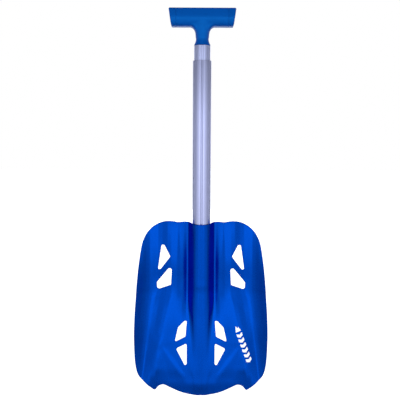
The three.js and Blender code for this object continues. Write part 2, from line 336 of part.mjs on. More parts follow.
// ---------------------------------------------------------------- lock buttons and leaf springs
function button(name, z, flangeR, flangeY, pinR, tip) {
  const dome = [];
  for (let i = 1; i <= 4; i++) {
    const a = (i / 4) * (Math.PI / 2);
    dome.push([Math.max(0, pinR * Math.cos(a)), tip - 1.7 + 1.7 * Math.sin(a)]);
  }
  dome[dome.length - 1][0] = 0;
  part(name, latheY([[0, flangeY[0]], [flangeR, flangeY[0]], [flangeR, flangeY[1]], [pinR, flangeY[1]], [pinR, tip - 1.7], ...dome], z), STEEL);
}
button('lower_button', LOWER_LOCK_Z, 5.6, [10.4, 12.0], LOWER_PIN_R, 19.6);
button('upper_button', UPPER_LOCK_Z, 5.0, [8.8, 10.3], UPPER_PIN_R, 17.6);

// A bent strip of thickness t whose centre line runs through the points (Y, Z).
function strip(points, t) {
  const left = [], right = [];
  for (let i = 0; i < points.length; i++) {
    const p = new THREE.Vector2(...points[i]);
    const a = new THREE.Vector2(...points[Math.max(0, i - 1)]);
    const b = new THREE.Vector2(...points[Math.min(points.length - 1, i + 1)]);
    const d = b.sub(a).normalize();
    const n = new THREE.Vector2(-d.y, d.x).multiplyScalar(t / 2);
    left.push(p.clone().add(n));
    right.push(p.clone().sub(n));
  }
  return [...left, ...right.reverse()];
}
function leafSpring(name, z, yBack, yFront, length, width) {
  const pts = [[yBack, z - 7], [yBack, z + 7]];
  const rBend = 2.4, zc = z + length;
  for (let i = 0; i <= 6; i++) {
    const a = Math.PI * (i / 6);
    pts.push([rBend * Math.cos(a) - 0.2, zc + rBend * Math.sin(a)]);
  }
  pts.push([yFront, z + 9], [yFront, z - 5]);
  part(name, prismX(strip(pts, 0.6), width), STEEL);
}
leafSpring('lower_button_spring', LOWER_LOCK_Z, 9.75, -11.2, 34, 7);
leafSpring('upper_button_spring', UPPER_LOCK_Z, 8.15, -9.5, 36, 6);

// ---------------------------------------------------------------- T-grip
// Bar section in (Y, Z), widest at mid height, with a flat top.
const barHalf = [[4.2, 605.2], [6.6, 605.6], [8.8, 606.8], [10.6, 608.9], [12.2, 612.0], [13.3, 615.2], [13.6, 617.6],
  [13.2, 620.4], [12.1, 624.6], [10.8, 629.0], [9.9, 631.7], [8.9, 633.1], [7.6, 633.7]];
const barSection = [...barHalf, ...barHalf.slice().reverse().map(([y, z]) => [-y, z])];
const slant = (GRIP.halfTop - GRIP.halfBottom) / (GRIP.top - GRIP.bottom);
// The slanted ends, as a wedge-shaped outline in (X, Z) cut through along Y.
function barBlank(x0Top, x0Bottom, x1Top, x1Bottom) {
  const g = new THREE.ExtrudeGeometry(new THREE.Shape([[x0Bottom, GRIP.bottom - 5], [x1Bottom, GRIP.bottom - 5], [x1Top, GRIP.top + 5], [x0Top, GRIP.top + 5]]
    .map((p) => new THREE.Vector2(...p))), { depth: 60, bevelEnabled: false, steps: 1 });
  g.rotateX(Math.PI / 2);
  g.translate(0, 30, 0);
  return solid(g);
}
const bar = () => solid(prismX(barSection.map((p) => new THREE.Vector2(...p)), 130));
{
  const s = GRIP.seam;
  const middle = bar().intersect(barBlank(-s, -s, s, s));
  const neck = solid(latheZ([[0, 576.3], [13.1, 576.3], [13.1, 577.2], [11.9, 579.4], [10.7, 582.6], [GRIP.neckR, 586],
    [GRIP.neckR, 594], [10.7, 599], [11.3, 604], [11.8, 610], [11.0, 615], [0, 617]]));
  const flare = solid(latheZ([[0, 591.5], [GRIP.neckR, 592.5], [11.3, 597], [13.2, 600.9], [16.4, 604.7], [17, 608], [0, 608]]))
    .intersect(solid(prismX([[-9.5, 585], [9.5, 585], [9.5, 609.5], [-9.5, 609.5]].map((p) => new THREE.Vector2(...p)), 60)));
  const spigot = solid(prismZ(grooved(UPPER.r - UPPER.wall - 0.3, 1.7, 5.3, 28), null, 548, 578));
  const bore = solid(latheZ([[0, 540], [7.5, 540], [7.5, 590], [5.5, 594], [0, 596]], 24));
  const pocket = (side) => solid(prismX([[-7.6, 608.4], [7.6, 608.4], [9.4, 612.6], [9.4, 622], [7.6, 629.6], [-7.6, 629.6], [-9.4, 622], [-9.4, 612.6]]
    .map((p) => new THREE.Vector2(...p)), 28, side * (s - 12)));
  const rivetHole = solid(pinY(2.3, 4, 16, RIVET_Z, 16));
  part('grip_body', geometryOf(middle.add(neck).add(flare).add(spigot).subtract(bore).subtract(pocket(1)).subtract(pocket(-1)).subtract(rivetHole)), BLUE_PLASTIC);
}
for (const [name, side] of [['grip_end_cap_left', -1], ['grip_end_cap_right', 1]]) {
  const inner = (GRIP.seam + 0.3) * side;
  const top = (GRIP.halfTop + 5 * slant) * side, bottom = (GRIP.halfBottom - 5 * slant) * side;
  const shell = side > 0 ? barBlank(inner, inner, top, bottom) : barBlank(top, bottom, inner, inner);
  const tongue = solid(prismX([[-7.2, 608.9], [7.2, 608.9], [9.0, 612.8], [9.0, 621.8], [7.2, 629.1], [-7.2, 629.1], [-9.0, 621.8], [-9.0, 612.8]]
    .map((p) => new THREE.Vector2(...p)), 12, side * (GRIP.seam - 4.5)));
  part(name, geometryOf(bar().intersect(shell).add(tongue)), BLUE_PLASTIC);
}

// Blind rivet through the back of the upper tube into the spigot.
part('grip_rivet', latheY([[0, 4.9], [2.4, 4.9], [3.1, 5.7], [3.1, 6.4], [2.0, 7.0], [2.0, 13.45], [4.0, 13.45], [3.8, 14.2], [2.6, 14.9], [0, 15.1]], RIVET_Z, 20), SATIN_ALUMINIUM);

export default root;
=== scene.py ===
"""Looks of a telescopic avalanche shovel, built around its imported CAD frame.

Millimetres while building, metres in the meshes. X to the right, Y from the scoop side to the
back, Z along the shaft from the blade's tip up to the T-grip.
"""
import math

import bpy
import numpy as np
from mathutils import Matrix, Vector, geometry, kdtree


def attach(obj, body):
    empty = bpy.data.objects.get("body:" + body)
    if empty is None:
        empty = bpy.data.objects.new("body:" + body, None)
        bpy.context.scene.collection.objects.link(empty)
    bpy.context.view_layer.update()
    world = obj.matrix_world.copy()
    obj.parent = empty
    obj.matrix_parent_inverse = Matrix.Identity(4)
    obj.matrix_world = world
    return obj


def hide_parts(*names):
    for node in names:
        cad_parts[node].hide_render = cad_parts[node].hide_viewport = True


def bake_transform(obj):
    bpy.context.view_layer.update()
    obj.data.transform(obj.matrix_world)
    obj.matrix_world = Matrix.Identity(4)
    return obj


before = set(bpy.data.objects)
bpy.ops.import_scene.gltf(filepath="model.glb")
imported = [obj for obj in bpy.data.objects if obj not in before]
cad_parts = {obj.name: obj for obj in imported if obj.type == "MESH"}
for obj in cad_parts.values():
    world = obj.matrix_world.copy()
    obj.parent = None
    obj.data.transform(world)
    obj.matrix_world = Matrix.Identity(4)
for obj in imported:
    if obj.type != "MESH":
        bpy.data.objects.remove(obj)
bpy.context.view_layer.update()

MM = 0.001

# ------------------------------------------------------------------ dimensions, millimetres
SHEET = 1.8
LOWER_R, LOWER_WALL, LOWER_Z = 15.0, 1.5, (184.0, 552.4)
UPPER_R, UPPER_WALL, UPPER_Z = 13.15, 1.35, (280.0, 576.0)
TRAVEL = 212.0
LOWER_LOCK_Z, UPPER_LOCK_Z, RIVET_Z = 226.0, 306.0, 566.0
LOWER_PIN_R, UPPER_PIN_R, HOLE_CLEAR = 4.2, 3.9, 0.45
GRIP_SEAM, GRIP_BOTTOM, GRIP_TOP, GRIP_HALF_TOP, GRIP_HALF_BOTTOM = 41.6, 605.2, 633.7, 53.6, 49.7

# The blade's relief: one list a crease line, each point (z, x, height towards the scoop side).
RIDGES = [
    # groove
    [(309.2, 0, 16.05), (289.4, 0, 16.05), (269.4, 0, 16.05), (246, 0, 16.05), (220.7, 0, 16.05), (195.3, 0, 16.05), (185.2, 0, 16.35), (174.7, 0, 15.85), (161.3, 0, 16.55), (147.8, 0, 17.35), (134.3, 0, 18.25), (119.2, 0, 19.65), (102.4, 0, 21.35), (84.1, 0, 22.95), (74.1, 0, 23.75), (62.5, 0, 24.65), (52.7, 0, 25.65), (42.9, 0, 26.55), (30.1, 0, 27.85), (18.9, 0, 29.05), (-0.1, 0, 28.35), (-19.3, 0, 28.65)],
    # groove shoulder
    [(309.4, 2.5, 17.4), (289.5, 2.5, 17.4), (269.6, 2.5, 17.4), (246.2, 2.5, 17.4), (221, 2.5, 17.4), (195.6, 2.5, 17.4), (185.4, 2.5, 17.7), (175, 2.5, 17.2), (161.6, 2.5, 17.9), (148.1, 2.5, 18.6), (134.7, 2.5, 19.3), (119.6, 2.5, 20.6), (102.8, 2.5, 22.2), (84.5, 2.5, 23.9), (74.5, 2.5, 24.8), (62.9, 2.5, 25.8), (53.1, 2.5, 26.8), (43.4, 2.5, 27.9), (30.5, 2.5, 29.1), (19.3, 2.5, 30.2), (0.3, 2.5, 29.5), (-18.9, 2.5, 29.7)],
    # crest0
    [(309.2, 5.7, 16.5), (289.4, 5.7, 16.5), (269.4, 5.8, 16.5), (246, 5.8, 16.5), (220.8, 5.8, 16.5), (195.3, 5.8, 16.5), (185.2, 5.8, 16.9), (174.8, 5.8, 16.3), (161.3, 5.8, 17.1), (147.9, 5.8, 17.9), (134.5, 5.8, 18.6), (119.4, 5.8, 20.1), (102.7, 5.8, 21.5), (84.4, 5.8, 23.3), (74.5, 5.8, 24.2), (62.8, 5.8, 25.3), (53.1, 5.8, 26.5), (43.4, 5.8, 27.7), (30.5, 5.8, 29.1), (19.3, 5.8, 30.3), (0.3, 5.8, 29.5), (-18.9, 5.8, 29.8)],
    # crest1
    [(308.9, 9.9, 14.5), (289, 9.9, 14.5), (269, 9.9, 14.5), (245.6, 9.9, 14.5), (220.2, 10, 14.5), (194.8, 10, 14.5), (184.6, 10, 14.8), (174.2, 10.1, 14.4), (160.8, 10.1, 15.4), (147.4, 10.1, 16.3), (134.1, 9.9, 17.2), (119, 9.7, 18.8), (102.4, 9.3, 20.5), (84.2, 8.8, 22.5), (74.3, 8.5, 23.7), (62.7, 8.1, 24.9), (53, 7.7, 26.2), (43.3, 7.2, 27.6), (30.5, 6.6, 29), (19.3, 6.2, 30.2), (0.3, 6.2, 29.5), (-18.9, 6.3, 29.8)],
    # flank1
    [(308.5, 13.2, 11.3), (288.5, 13.3, 11.3), (268.4, 13.3, 11.3), (244.9, 13.3, 11.3), (219.5, 13.4, 11.3), (193.9, 13.4, 11.3), (183.7, 13.4, 11.7), (173.3, 13.5, 11.4), (160, 13.5, 12.8), (146.7, 13.5, 14.1), (133.4, 13.2, 15.4), (118.5, 12.7, 17.3), (101.9, 12, 19.4), (83.9, 11.1, 21.7), (74, 10.6, 23.1), (62.6, 10, 24.5), (52.9, 9.2, 25.9), (43.3, 8.4, 27.4), (30.5, 7.2, 28.9), (19.3, 6.6, 30.2), (0.3, 6.6, 29.5), (-18.9, 6.6, 29.8)],
    # flank2
    [(308, 15.8, 7.8), (287.9, 15.8, 7.8), (267.8, 15.9, 7.8), (244.1, 15.9, 7.8), (218.6, 16, 7.8), (192.9, 16, 7.8), (182.7, 16, 8.1), (172.3, 16.1, 8.1), (159, 16.1, 9.8), (145.8, 16.1, 11), (132.6, 15.7, 12.1), (117.8, 15, 14.6), (101.4, 14.1, 17.7), (83.5, 12.9, 20.9), (73.8, 12.2, 22.5), (62.4, 11.4, 24.2), (52.8, 10.3, 25.7), (43.2, 9.2, 27.3), (30.5, 7.6, 28.9), (19.3, 6.8, 30.2), (0.3, 6.8, 29.5), (-18.9, 6.8, 29.8)],
    # flank3
    [(306.8, 20.3, -0.4), (286.6, 20.4, -0.4), (266.2, 20.4, -0.4), (242.3, 20.5, -0.4), (216.6, 20.5, -0.4), (190.7, 20.6, -0.4), (180.3, 20.6, -0.1), (170, 20.6, 0.4), (156.8, 20.6, 2.8), (143.8, 20.6, 5.6), (130.8, 20.1, 8.7), (116.3, 19.1, 12.5), (100.3, 17.7, 16.4), (82.7, 16, 20), (73.1, 15, 21.7), (61.9, 13.8, 23.7), (52.5, 12.3, 25.4), (43, 10.7, 27), (30.4, 8.4, 28.8), (19.3, 7.3, 30.2), (0.3, 7.3, 29.5), (-18.9, 7.3, 29.8)],
    # crease in
    [(306.6, 21.7, -2.2), (286.3, 21.8, -2.2), (265.9, 21.8, -2.2), (242, 21.9, -2.2), (216.2, 21.9, -2.2), (190.2, 22, -2.2), (179.8, 22.1, -1.9), (169.5, 22.1, -1.3), (156.3, 22, 1.3), (143.4, 22, 5.3), (130.5, 21.5, 9.1), (116, 20.3, 12.9), (100, 18.9, 16.7), (82.5, 16.9, 20.2), (73, 15.8, 21.8), (61.8, 14.5, 23.7), (52.4, 12.9, 25.4), (43, 11.2, 27), (30.4, 8.7, 28.9), (19.3, 7.5, 30.2), (0.3, 7.5, 29.5), (-18.9, 7.5, 29.7)],
    # crease out
    [(306.6, 23.6, -2.2), (286.3, 23.7, -2.2), (265.9, 23.8, -2.2), (242, 23.8, -2.2), (216.2, 23.9, -2.2), (190.2, 24, -2.2), (179.8, 24, -1.9), (169.5, 24, -1.3), (156.3, 24, 1.3), (143.4, 24, 5), (130.5, 23.4, 8.6), (116, 22.2, 12.5), (100, 20.6, 16.5), (82.5, 18.6, 19.9), (73, 17.4, 21.6), (61.8, 16, 23.6), (52.4, 14.3, 25.3), (43, 12.4, 26.9), (30.4, 9.8, 28.8), (19.3, 8.4, 30.2), (0.3, 8.4, 29.5), (-18.9, 8.4, 29.7)],
    # step1
    [(306.9, 29.6, -0.3), (286.6, 29.7, -0.3), (266.3, 29.8, 0.1), (242.4, 29.9, 0.9), (216.6, 30, 1.8), (190.7, 30.1, 1.2), (180.4, 30.1, 1.6), (170, 30.2, 2), (156.9, 31, 4.9), (143.9, 31.8, 8.2), (131.1, 32.2, 11.4), (116.6, 32.2, 14.5), (100.7, 32.1, 17.3), (83.5, 38.8, 20.4), (73.8, 34.2, 21.3), (62.4, 29.6, 22.8), (52.8, 25.4, 24), (43.2, 21.1, 25.4), (30.5, 15.3, 26.9), (19.3, 14.5, 28.2), (0.3, 14.5, 28), (-18.9, 14.6, 28.3)],
    # step2
    [(307, 35.3, -1.2), (286.7, 35.4, -1), (266.4, 35.5, 0.6), (242.5, 35.6, 2.6), (216.8, 35.7, 4.1), (190.9, 35.8, 3.4), (180.6, 35.9, 3.6), (170.4, 35.9, 4.3), (157.3, 37.4, 7), (144.4, 39, 10.3), (131.6, 40.3, 13.3), (117.2, 41.5, 16), (101.3, 42.7, 18.2), (84.8, 63.4, 22.9), (74.9, 54.5, 23.2), (63.2, 46.1, 23.9), (53.4, 38.9, 24.9), (43.5, 31.6, 25.7), (30.5, 22, 26.9), (19.3, 22, 28.2), (0.3, 22, 28), (-18.9, 22.1, 28.3)],
    # step3
    [(307.2, 39.4, 0.1), (287, 39.5, 0.4), (266.7, 39.6, 2.3), (242.9, 39.7, 4.5), (217.2, 39.8, 6), (191.4, 40, 5.3), (181.1, 40, 5.3), (170.9, 40.3, 6.1), (157.8, 42.6, 8.5), (144.9, 44.7, 11.6), (132.1, 46.7, 14.4), (117.6, 48.9, 17), (101.8, 51.1, 19.4), (85, 66.5, 23.3), (75.5, 60.8, 24.5), (64.1, 52.5, 25.7), (54.3, 45.4, 26.8), (44.4, 38.3, 27.5), (31, 28.9, 27.8), (19.3, 28.9, 28.2), (0.3, 29, 28.2), (-18.9, 29.1, 28.5)],
    # rib in
    [(307.2, 41.8, -0.6), (287.1, 42, -0.2), (266.8, 42.1, 2.3), (243, 42.2, 5), (217.3, 42.3, 6.9), (191.5, 42.5, 6.2), (181.2, 42.5, 6.2), (171.1, 43.9, 6.9), (158, 47.4, 9.3), (145.2, 50.5, 12), (132.4, 53.5, 14.8), (118.1, 56.8, 17.5), (102.2, 60.5, 20.2), (85, 68.3, 23.3), (75.2, 63.5, 24.4), (63.8, 60.7, 25.6), (54, 58.3, 26.5), (44.1, 55.9, 27.4), (30.8, 52.8, 27.8), (19.3, 52.8, 28.4), (0.3, 52.9, 28.1), (-18.9, 53, 28.4)],
    # rib out
    [(307.2, 48.6, -0.1), (287, 48.8, 0.2), (266.7, 48.9, 2.5), (242.9, 49.1, 4.8), (217.3, 49.2, 6.3), (191.4, 49.4, 5.4), (181.1, 49.5, 5.6), (171.1, 48.9, 6.6), (158, 51.8, 9.2), (145.2, 54.8, 11.9), (132.4, 57.8, 14.6), (118.1, 61.2, 17.3), (102.3, 64.9, 19.7), (85, 70, 22.8), (75.5, 66.7, 24.5), (64.4, 69.4, 26.7), (54.6, 71.7, 28.1), (44.8, 74.1, 29.5), (31.3, 77.3, 29.5), (19.3, 77.4, 29.4), (0.3, 77.5, 29.1), (-18.9, 77.7, 29.4)],
    # fall1
    [(307, 56.6, -1.7), (286.7, 56.7, -1.4), (266.4, 56.9, 0.5), (242.5, 57.1, 2.4), (216.8, 57.3, 3.7), (190.9, 57.5, 2.9), (180.6, 57.5, 3), (170.5, 57.9, 3.9), (157.4, 60.5, 6.5), (144.5, 63.1, 9.7), (131.7, 65.6, 12.6), (117.3, 68.4, 15.5), (101.4, 71.5, 18), (84.9, 70.3, 22.9), (75.4, 71.2, 24.3), (64.3, 73.9, 26.2), (54.5, 76.2, 27.3), (44.7, 78.6, 28.5), (31.1, 81.8, 28.5), (19.2, 81.9, 28.4), (0.2, 82.1, 28.6), (-19, 82.2, 28.9)],
    # fall2
    [(306.6, 64.2, -4.7), (286.3, 64.4, -4.4), (265.9, 64.6, -2.6), (242, 64.8, -0.5), (216.2, 65, 1), (190.2, 65.2, -0), (179.9, 65.3, 0.1), (169.6, 67.8, 0.6), (156.5, 70.8, 3.2), (143.5, 72.8, 6.3), (130.7, 74.9, 9.4), (116.2, 77.2, 12.4), (100.2, 79.8, 15.2), (84.1, 74.2, 21.6), (74.3, 76.5, 23), (63, 79.2, 24.7), (53.2, 81.5, 26), (43.4, 83.8, 27.1), (30.6, 87, 28.3), (19.3, 86.9, 29.3), (0.3, 87.1, 28.5), (-18.9, 87.2, 28.8)],
    # floor in
    [(306.3, 72.8, -7.3), (286, 72.9, -6.9), (265.6, 73.1, -5), (241.6, 73.4, -2.7), (215.7, 73.6, -1.5), (189.7, 73.9, -2.5), (179.3, 74, -2.3), (169, 76.4, -1.7), (155.8, 78.9, 1.1), (142.9, 80.5, 4.6), (129.9, 82.1, 7.7), (115.4, 83.8, 10.7), (99.4, 85.8, 13.2), (81.8, 87.6, 15.7), (72.4, 88.6, 17.6), (61.4, 89.9, 19.6), (52, 90.9, 21.7), (42.7, 92, 23.7), (30.3, 93.5, 26), (19.2, 94.4, 27.5), (0.2, 94.6, 27.4), (-19, 94.8, 27.7)],
    # floor out
    [(306.3, 78.6, -7.4), (286, 78.8, -7), (265.6, 79, -5), (241.6, 79.3, -3), (215.7, 79.6, -2), (189.7, 79.8, -3.1), (179.3, 79.9, -2.8), (169, 81, -2), (155.8, 83, 0.6), (142.8, 84.6, 3.9), (129.9, 86.1, 6.9), (115.4, 87.9, 9.8), (99.3, 89.8, 12), (81.8, 92, 14.3), (72.4, 93, 15.9), (61.3, 94.2, 17.6), (52, 95.3, 19.6), (42.7, 96.3, 21.5), (30.3, 97.8, 24.1), (19.2, 98.7, 25.9), (0.2, 98.9, 26.6), (-19, 99.1, 26.9)],
    # wing1
    [(306.3, 85.3, -6.3), (286, 85.5, -6), (265.7, 85.7, -4.1), (241.8, 86, -2.1), (216, 86.2, -0.4), (190, 86.5, -0.6), (179.6, 86.5, -0.3), (169.3, 87.4, 0.4), (156.1, 89.1, 3.1), (143.2, 90.4, 6.2), (130.2, 91.6, 9.2), (115.7, 93.1, 12), (99.7, 95, 14.4), (82.2, 97.1, 17), (72.7, 98.2, 18.8), (61.7, 99.4, 20.9), (52.4, 100.4, 22.9), (43, 101.5, 24.9), (30.5, 103, 27), (19.3, 103.9, 28.2), (0.2, 104.1, 27.8), (-19, 104.3, 28.1)],
    # wing2
    [(306.4, 91.1, -4.7), (286.2, 91.3, -4.2), (265.9, 91.5, -1.6), (242.1, 91.7, 1.4), (216.5, 91.9, 3.4), (190.7, 92.2, 3.2), (180.4, 92.1, 3.5), (170.1, 92.8, 4), (156.9, 94.3, 6.4), (143.9, 95.3, 9.5), (131, 96.3, 12.4), (116.4, 97.5, 15), (100.5, 99.4, 17.6), (83, 101.4, 20.3), (73.6, 102.5, 22.1), (62.5, 103.7, 24.2), (53.2, 104.7, 26.1), (43.7, 105.8, 27.7), (31, 107.4, 29), (19.5, 108.4, 29.3), (0.3, 108.6, 28.1), (-18.9, 108.9, 28.4)],
    # wing3
    [(306.6, 96.8, -2.8), (286.4, 97, -2), (266.2, 97.1, 1.4), (242.7, 97.2, 5.2), (217.4, 97.4, 7.8), (191.9, 97.6, 7.7), (181.6, 97.5, 7.8), (171.3, 98, 8), (158.1, 99.2, 10.2), (145.1, 100, 13), (132.2, 100.8, 15.7), (117.7, 101.7, 18.3), (101.8, 103.5, 20.9), (84.4, 105.6, 23.8), (74.9, 106.7, 25.4), (63.9, 107.9, 27.5), (54.5, 108.9, 29.1), (44.9, 110, 30.3), (31.8, 111.7, 30.5), (19.8, 112.9, 29.8), (0.5, 113.2, 28.3), (-18.7, 113.4, 28.7)],
    # wing4
    [(306.7, 102.5, -2.9), (286.6, 102.7, -1.9), (266.6, 102.7, 2.4), (243.5, 102.7, 7.7), (218.5, 102.8, 11.9), (193.2, 102.9, 12.8), (183, 102.8, 12.8), (172.7, 103.1, 12.8), (159.5, 104.1, 14.8), (146.5, 104.6, 17.4), (133.6, 105.2, 19.9), (119.1, 105.8, 22), (103.2, 107.6, 24.5), (85.9, 109.7, 27.1), (76.5, 110.7, 28.6), (65.5, 111.9, 30.3), (56, 113, 31.8), (46.3, 114.1, 32.6), (32.7, 116, 32), (20.2, 117.3, 30.2), (0.7, 117.7, 28.7), (-18.5, 117.9, 29)],
    # wing5
    [(307.2, 121.2, 0.4), (287.3, 121.3, 2.2), (268, 120.9, 9), (245.8, 120.4, 17.5), (222, 119.9, 24.9), (197.8, 119.8, 28.4), (187.7, 119.5, 28.1), (177.4, 119.4, 27.7), (164.3, 119.6, 28.9), (151.3, 119.4, 30.8), (138.3, 119.2, 32.7), (123.8, 118.9, 34.2), (108.2, 120.7, 37), (91.2, 122.7, 39.7), (81.8, 123.7, 40.9), (70.8, 125, 42.3), (61.2, 126.1, 43), (50.9, 127.4, 42.5), (35.7, 129.8, 38.4), (21.4, 131.8, 32.7), (1.4, 132.4, 30.1), (-17.8, 132.7, 30.4)],
]
OUTLINE = [
    (0.0, 287.4), (4.9, 287.6), (9.8, 287.8), (14.0, 288.3), (17.4, 289.5), (20.0, 289.9), (23.4, 290.1), (27.6, 290.6),
    (31.7, 290.4), (35.9, 289.6), (40.0, 289.8), (44.1, 290.7), (48.3, 291.4), (55.0, 291.5), (60.1, 290.9), (64.4, 289.8),
    (68.7, 288.3), (71.8, 286.9), (81.0, 281.8), (86.4, 276.7), (90.8, 271.8), (93.6, 266.9), (96.1, 262.0), (97.8, 257.1),
    (99.2, 252.2), (100.9, 242.4), (102.3, 232.6), (103.5, 222.8), (104.7, 213.0), (105.6, 203.2), (106.5, 193.3), (107.4, 183.4),
    (108.1, 173.3), (108.6, 163.4), (109.2, 153.8), (109.8, 144.1), (110.2, 134.5), (110.5, 124.8), (110.8, 115.1), (111.1, 100.5),
    (110.8, 85.5), (110.5, 75.6), (110.1, 65.6), (109.2, 55.4), (107.6, 45.0), (106.3, 39.8), (104.6, 34.7), (101.7, 29.6),
    (97.6, 24.7), (92.0, 20.0), (85.5, 14.9), (82.1, 12.3), (78.3, 10.0), (76.6, 9.7), (75.0, 10.7), (72.8, 13.8),
    (70.3, 16.6), (67.1, 18.2), (63.8, 18.9), (60.8, 18.6), (57.5, 17.0), (53.3, 14.8), (48.3, 12.2), (43.3, 9.8),
    (38.3, 7.4), (33.3, 5.5), (26.7, 3.4), (20.0, 1.8), (13.3, 0.8), (6.7, 0.3), (0.0, 0.0),
]
CUTOUTS = [
    [(66.6, 250.8), (62.0, 251.1), (51.5, 232.1), (68.9, 208.7), (72.8, 209.0)],
    [(54.4, 212.2), (49.1, 211.6), (50.5, 183.6), (71.3, 174.8), (74.5, 176.8), (74.9, 185.9)],
    [(28.0, 122.9), (23.6, 123.1), (25.7, 97.6), (41.7, 90.2), (43.2, 91.5), (38.1, 113.5)],
    [(25.0, 86.1), (23.5, 84.3), (23.4, 51.8), (26.7, 50.2), (41.6, 78.3)],
]

CORNER_R = 3.0                   # cut-out corners
ROUND_X, ROUND_Z = 0.9, 2.6      # press-tool rounding of the relief
GRID_X, GRID_Z = 1.35, 1.9       # mesh size on the blade


# ------------------------------------------------------------------ mesh helpers
def add_mesh(name, verts, faces, normals=None, sharp_deg=32.0):
    """A mesh object from millimetre vertices. normals: one per vertex, or None for smooth by angle."""
    me = bpy.data.meshes.new(name)
    me.from_pydata((np.asarray(verts, float) * MM).tolist(), [], [list(map(int, f)) for f in faces])
    me.update()
    me.shade_smooth()
    if normals is None:
        me.set_sharp_from_angle(angle=math.radians(sharp_deg))
    else:
        me.normals_split_custom_set_from_vertices([tuple(map(float, n)) for n in normals])
    ob = bpy.data.objects.new(name, me)
    bpy.context.scene.collection.objects.link(ob)
    return ob


def place(ob, body, slot, material, *nodes):
    ob.data.materials.clear()
    ob.data.materials.append(material)
    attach(ob, body)
    if nodes:
        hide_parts(*nodes)
    return ob


def stack(rings, closed=False, caps=True):
    """Quads between rings of the same length. closed joins the last ring to the first."""
    n = len(rings[0])
    verts = np.concatenate([np.asarray(r, float) for r in rings])
    faces = []
    m = len(rings)
    for k in range(m if closed else m - 1):
        a, b = k * n, ((k + 1) % m) * n
        for i in range(n):
            j = (i + 1) % n
            faces.append((a + i, a + j, b + j, b + i))
    if not closed and caps:
        faces.append(tuple(range(n - 1, -1, -1)))
        faces.append(tuple(range((m - 1) * n, m * n)))
    return verts, faces


def offset_loop(loop, d):
    """A closed counter-clockwise loop of 2-D points moved outwards by d."""
    p = np.asarray(loop, float)
    e = np.roll(p, -1, 0) - p
    e /= np.maximum(np.linalg.norm(e, axis=1, keepdims=True), 1e-9)
    n = np.stack([e[:, 1], -e[:, 0]], 1)
    v = n + np.roll(n, 1, 0)
    l2 = np.maximum((v * v).sum(1, keepdims=True), 0.5)
    return p + d * 2 * v / l2


def area2(loop):
    p = np.asarray(loop, float)
    q = np.roll(p, -1, 0)
    return float((p[:, 0] * q[:, 1] - q[:, 0] * p[:, 1]).sum() / 2)


def round_corners(points, radius, steps=6, closed=True):
    """A polygon with its corners turned into arcs; radius is one number or one a corner."""
    n = len(points)
    radii = radius if hasattr(radius, "__len__") else [radius] * n
    out = []
    for i in range(n):
        p = np.array(points[i], float)
        if not closed and i in (0, n - 1) or radii[i] <= 0:
            out.append(p)
            continue
        a = np.array(points[i - 1], float) - p
        b = np.array(points[(i + 1) % n], float) - p
        la, lb = np.linalg.norm(a), np.linalg.norm(b)
        a, b = a / la, b / lb
        half = math.acos(max(-1, min(1, float(a @ b)))) / 2
        if half > math.radians(88):
            out.append(p)
            continue
        cut = min(radii[i] / math.tan(half), la * 0.47, lb * 0.47)
        r = cut * math.tan(half)
        c = p + (a + b) / np.linalg.norm(a + b) * (r / math.sin(half))
        v0, v1 = p + a * cut - c, p + b * cut - c
        for k in range(steps + 1):
            t = k / steps
            w = math.sin((1 - t) * (math.pi - 2 * half)), math.sin(t * (math.pi - 2 * half))
            out.append(c + (v0 * w[0] + v1 * w[1]) / max(math.sin(math.pi - 2 * half), 1e-9))
    return np.array(out)


def resample(loop, step, closed=True):
    p = np.asarray(loop, float)
    if closed:
        p = np.concatenate([p, p[:1]])
    d = np.linalg.norm(np.diff(p, axis=0), axis=1)
    s = np.concatenate([[0], np.cumsum(d)])
    n = max(3, int(round(s[-1] / step)))
    t = np.linspace(0, s[-1], n + 1)[: n if closed else n + 1]
    return np.stack([np.interp(t, s, p[:, k]) for k in range(p.shape[1])], 1)


def chaikin(loop, times):
    p = np.asarray(loop, float)
    for _ in range(times):
        q = np.roll(p, -1, 0)
        p = np.stack([0.75 * p + 0.25 * q, 0.25 * p + 0.75 * q], 1).reshape(-1, 2)
    return p


def spline(points, steps=6, closed=False):
    """Catmull-Rom through the points."""
    p = np.asarray(points, float)
    n = len(p)
    out = []
    for i in range(n if closed else n - 1):
        a = p[(i - 1) % n] if closed or i > 0 else 2 * p[0] - p[1]
        b, c = p[i], p[(i + 1) % n]
        d = p[(i + 2) % n] if closed or i + 2 < n else 2 * p[-1] - p[-2]
        for k in range(steps):
            t = k / steps
            out.append(0.5 * (2 * b + (c - a) * t + (2 * a - 5 * b + 4 * c - d) * t * t
                              + (3 * b - a - 3 * c + d) * t ** 3))
    if not closed:
        out.append(p[-1])
    return np.array(out)


def lathe(profile, axis, centre, segments=64):
    """A solid of revolution. profile: (radius, along) from axis to axis. axis 'y' or 'z'."""
    prof = [p for p in profile]
    ang = 2 * math.pi * np.arange(segments) / segments
    verts, faces, rows = [], [], []
    for r, t in prof:
        if r < 1e-6:
            rows.append([len(verts)])
            verts.append((0, 0, t))
        else:
            rows.append(list(range(len(verts), len(verts) + segments)))
            verts.extend((r * math.cos(a), r * math.sin(a), t) for a in ang)
    for a, b in zip(rows[:-1], rows[1:]):
        if len(a) == 1 and len(b) == 1:
            continue
        for i in range(segments):
            j = (i + 1) % segments
            if len(a) == 1:
                faces.append((a[0], b[j], b[i]))
            elif len(b) == 1:
                faces.append((a[i], a[j], b[0]))
            else:
                faces.append((a[i], a[j], b[j], b[i]))
    v = np.array(verts, float)
    if axis == "y":      # radius about Y: (x, y, z) = (a, t, -b)
        v = np.stack([v[:, 0], v[:, 2], -v[:, 1]], 1)
    return v + np.array(centre, float), faces


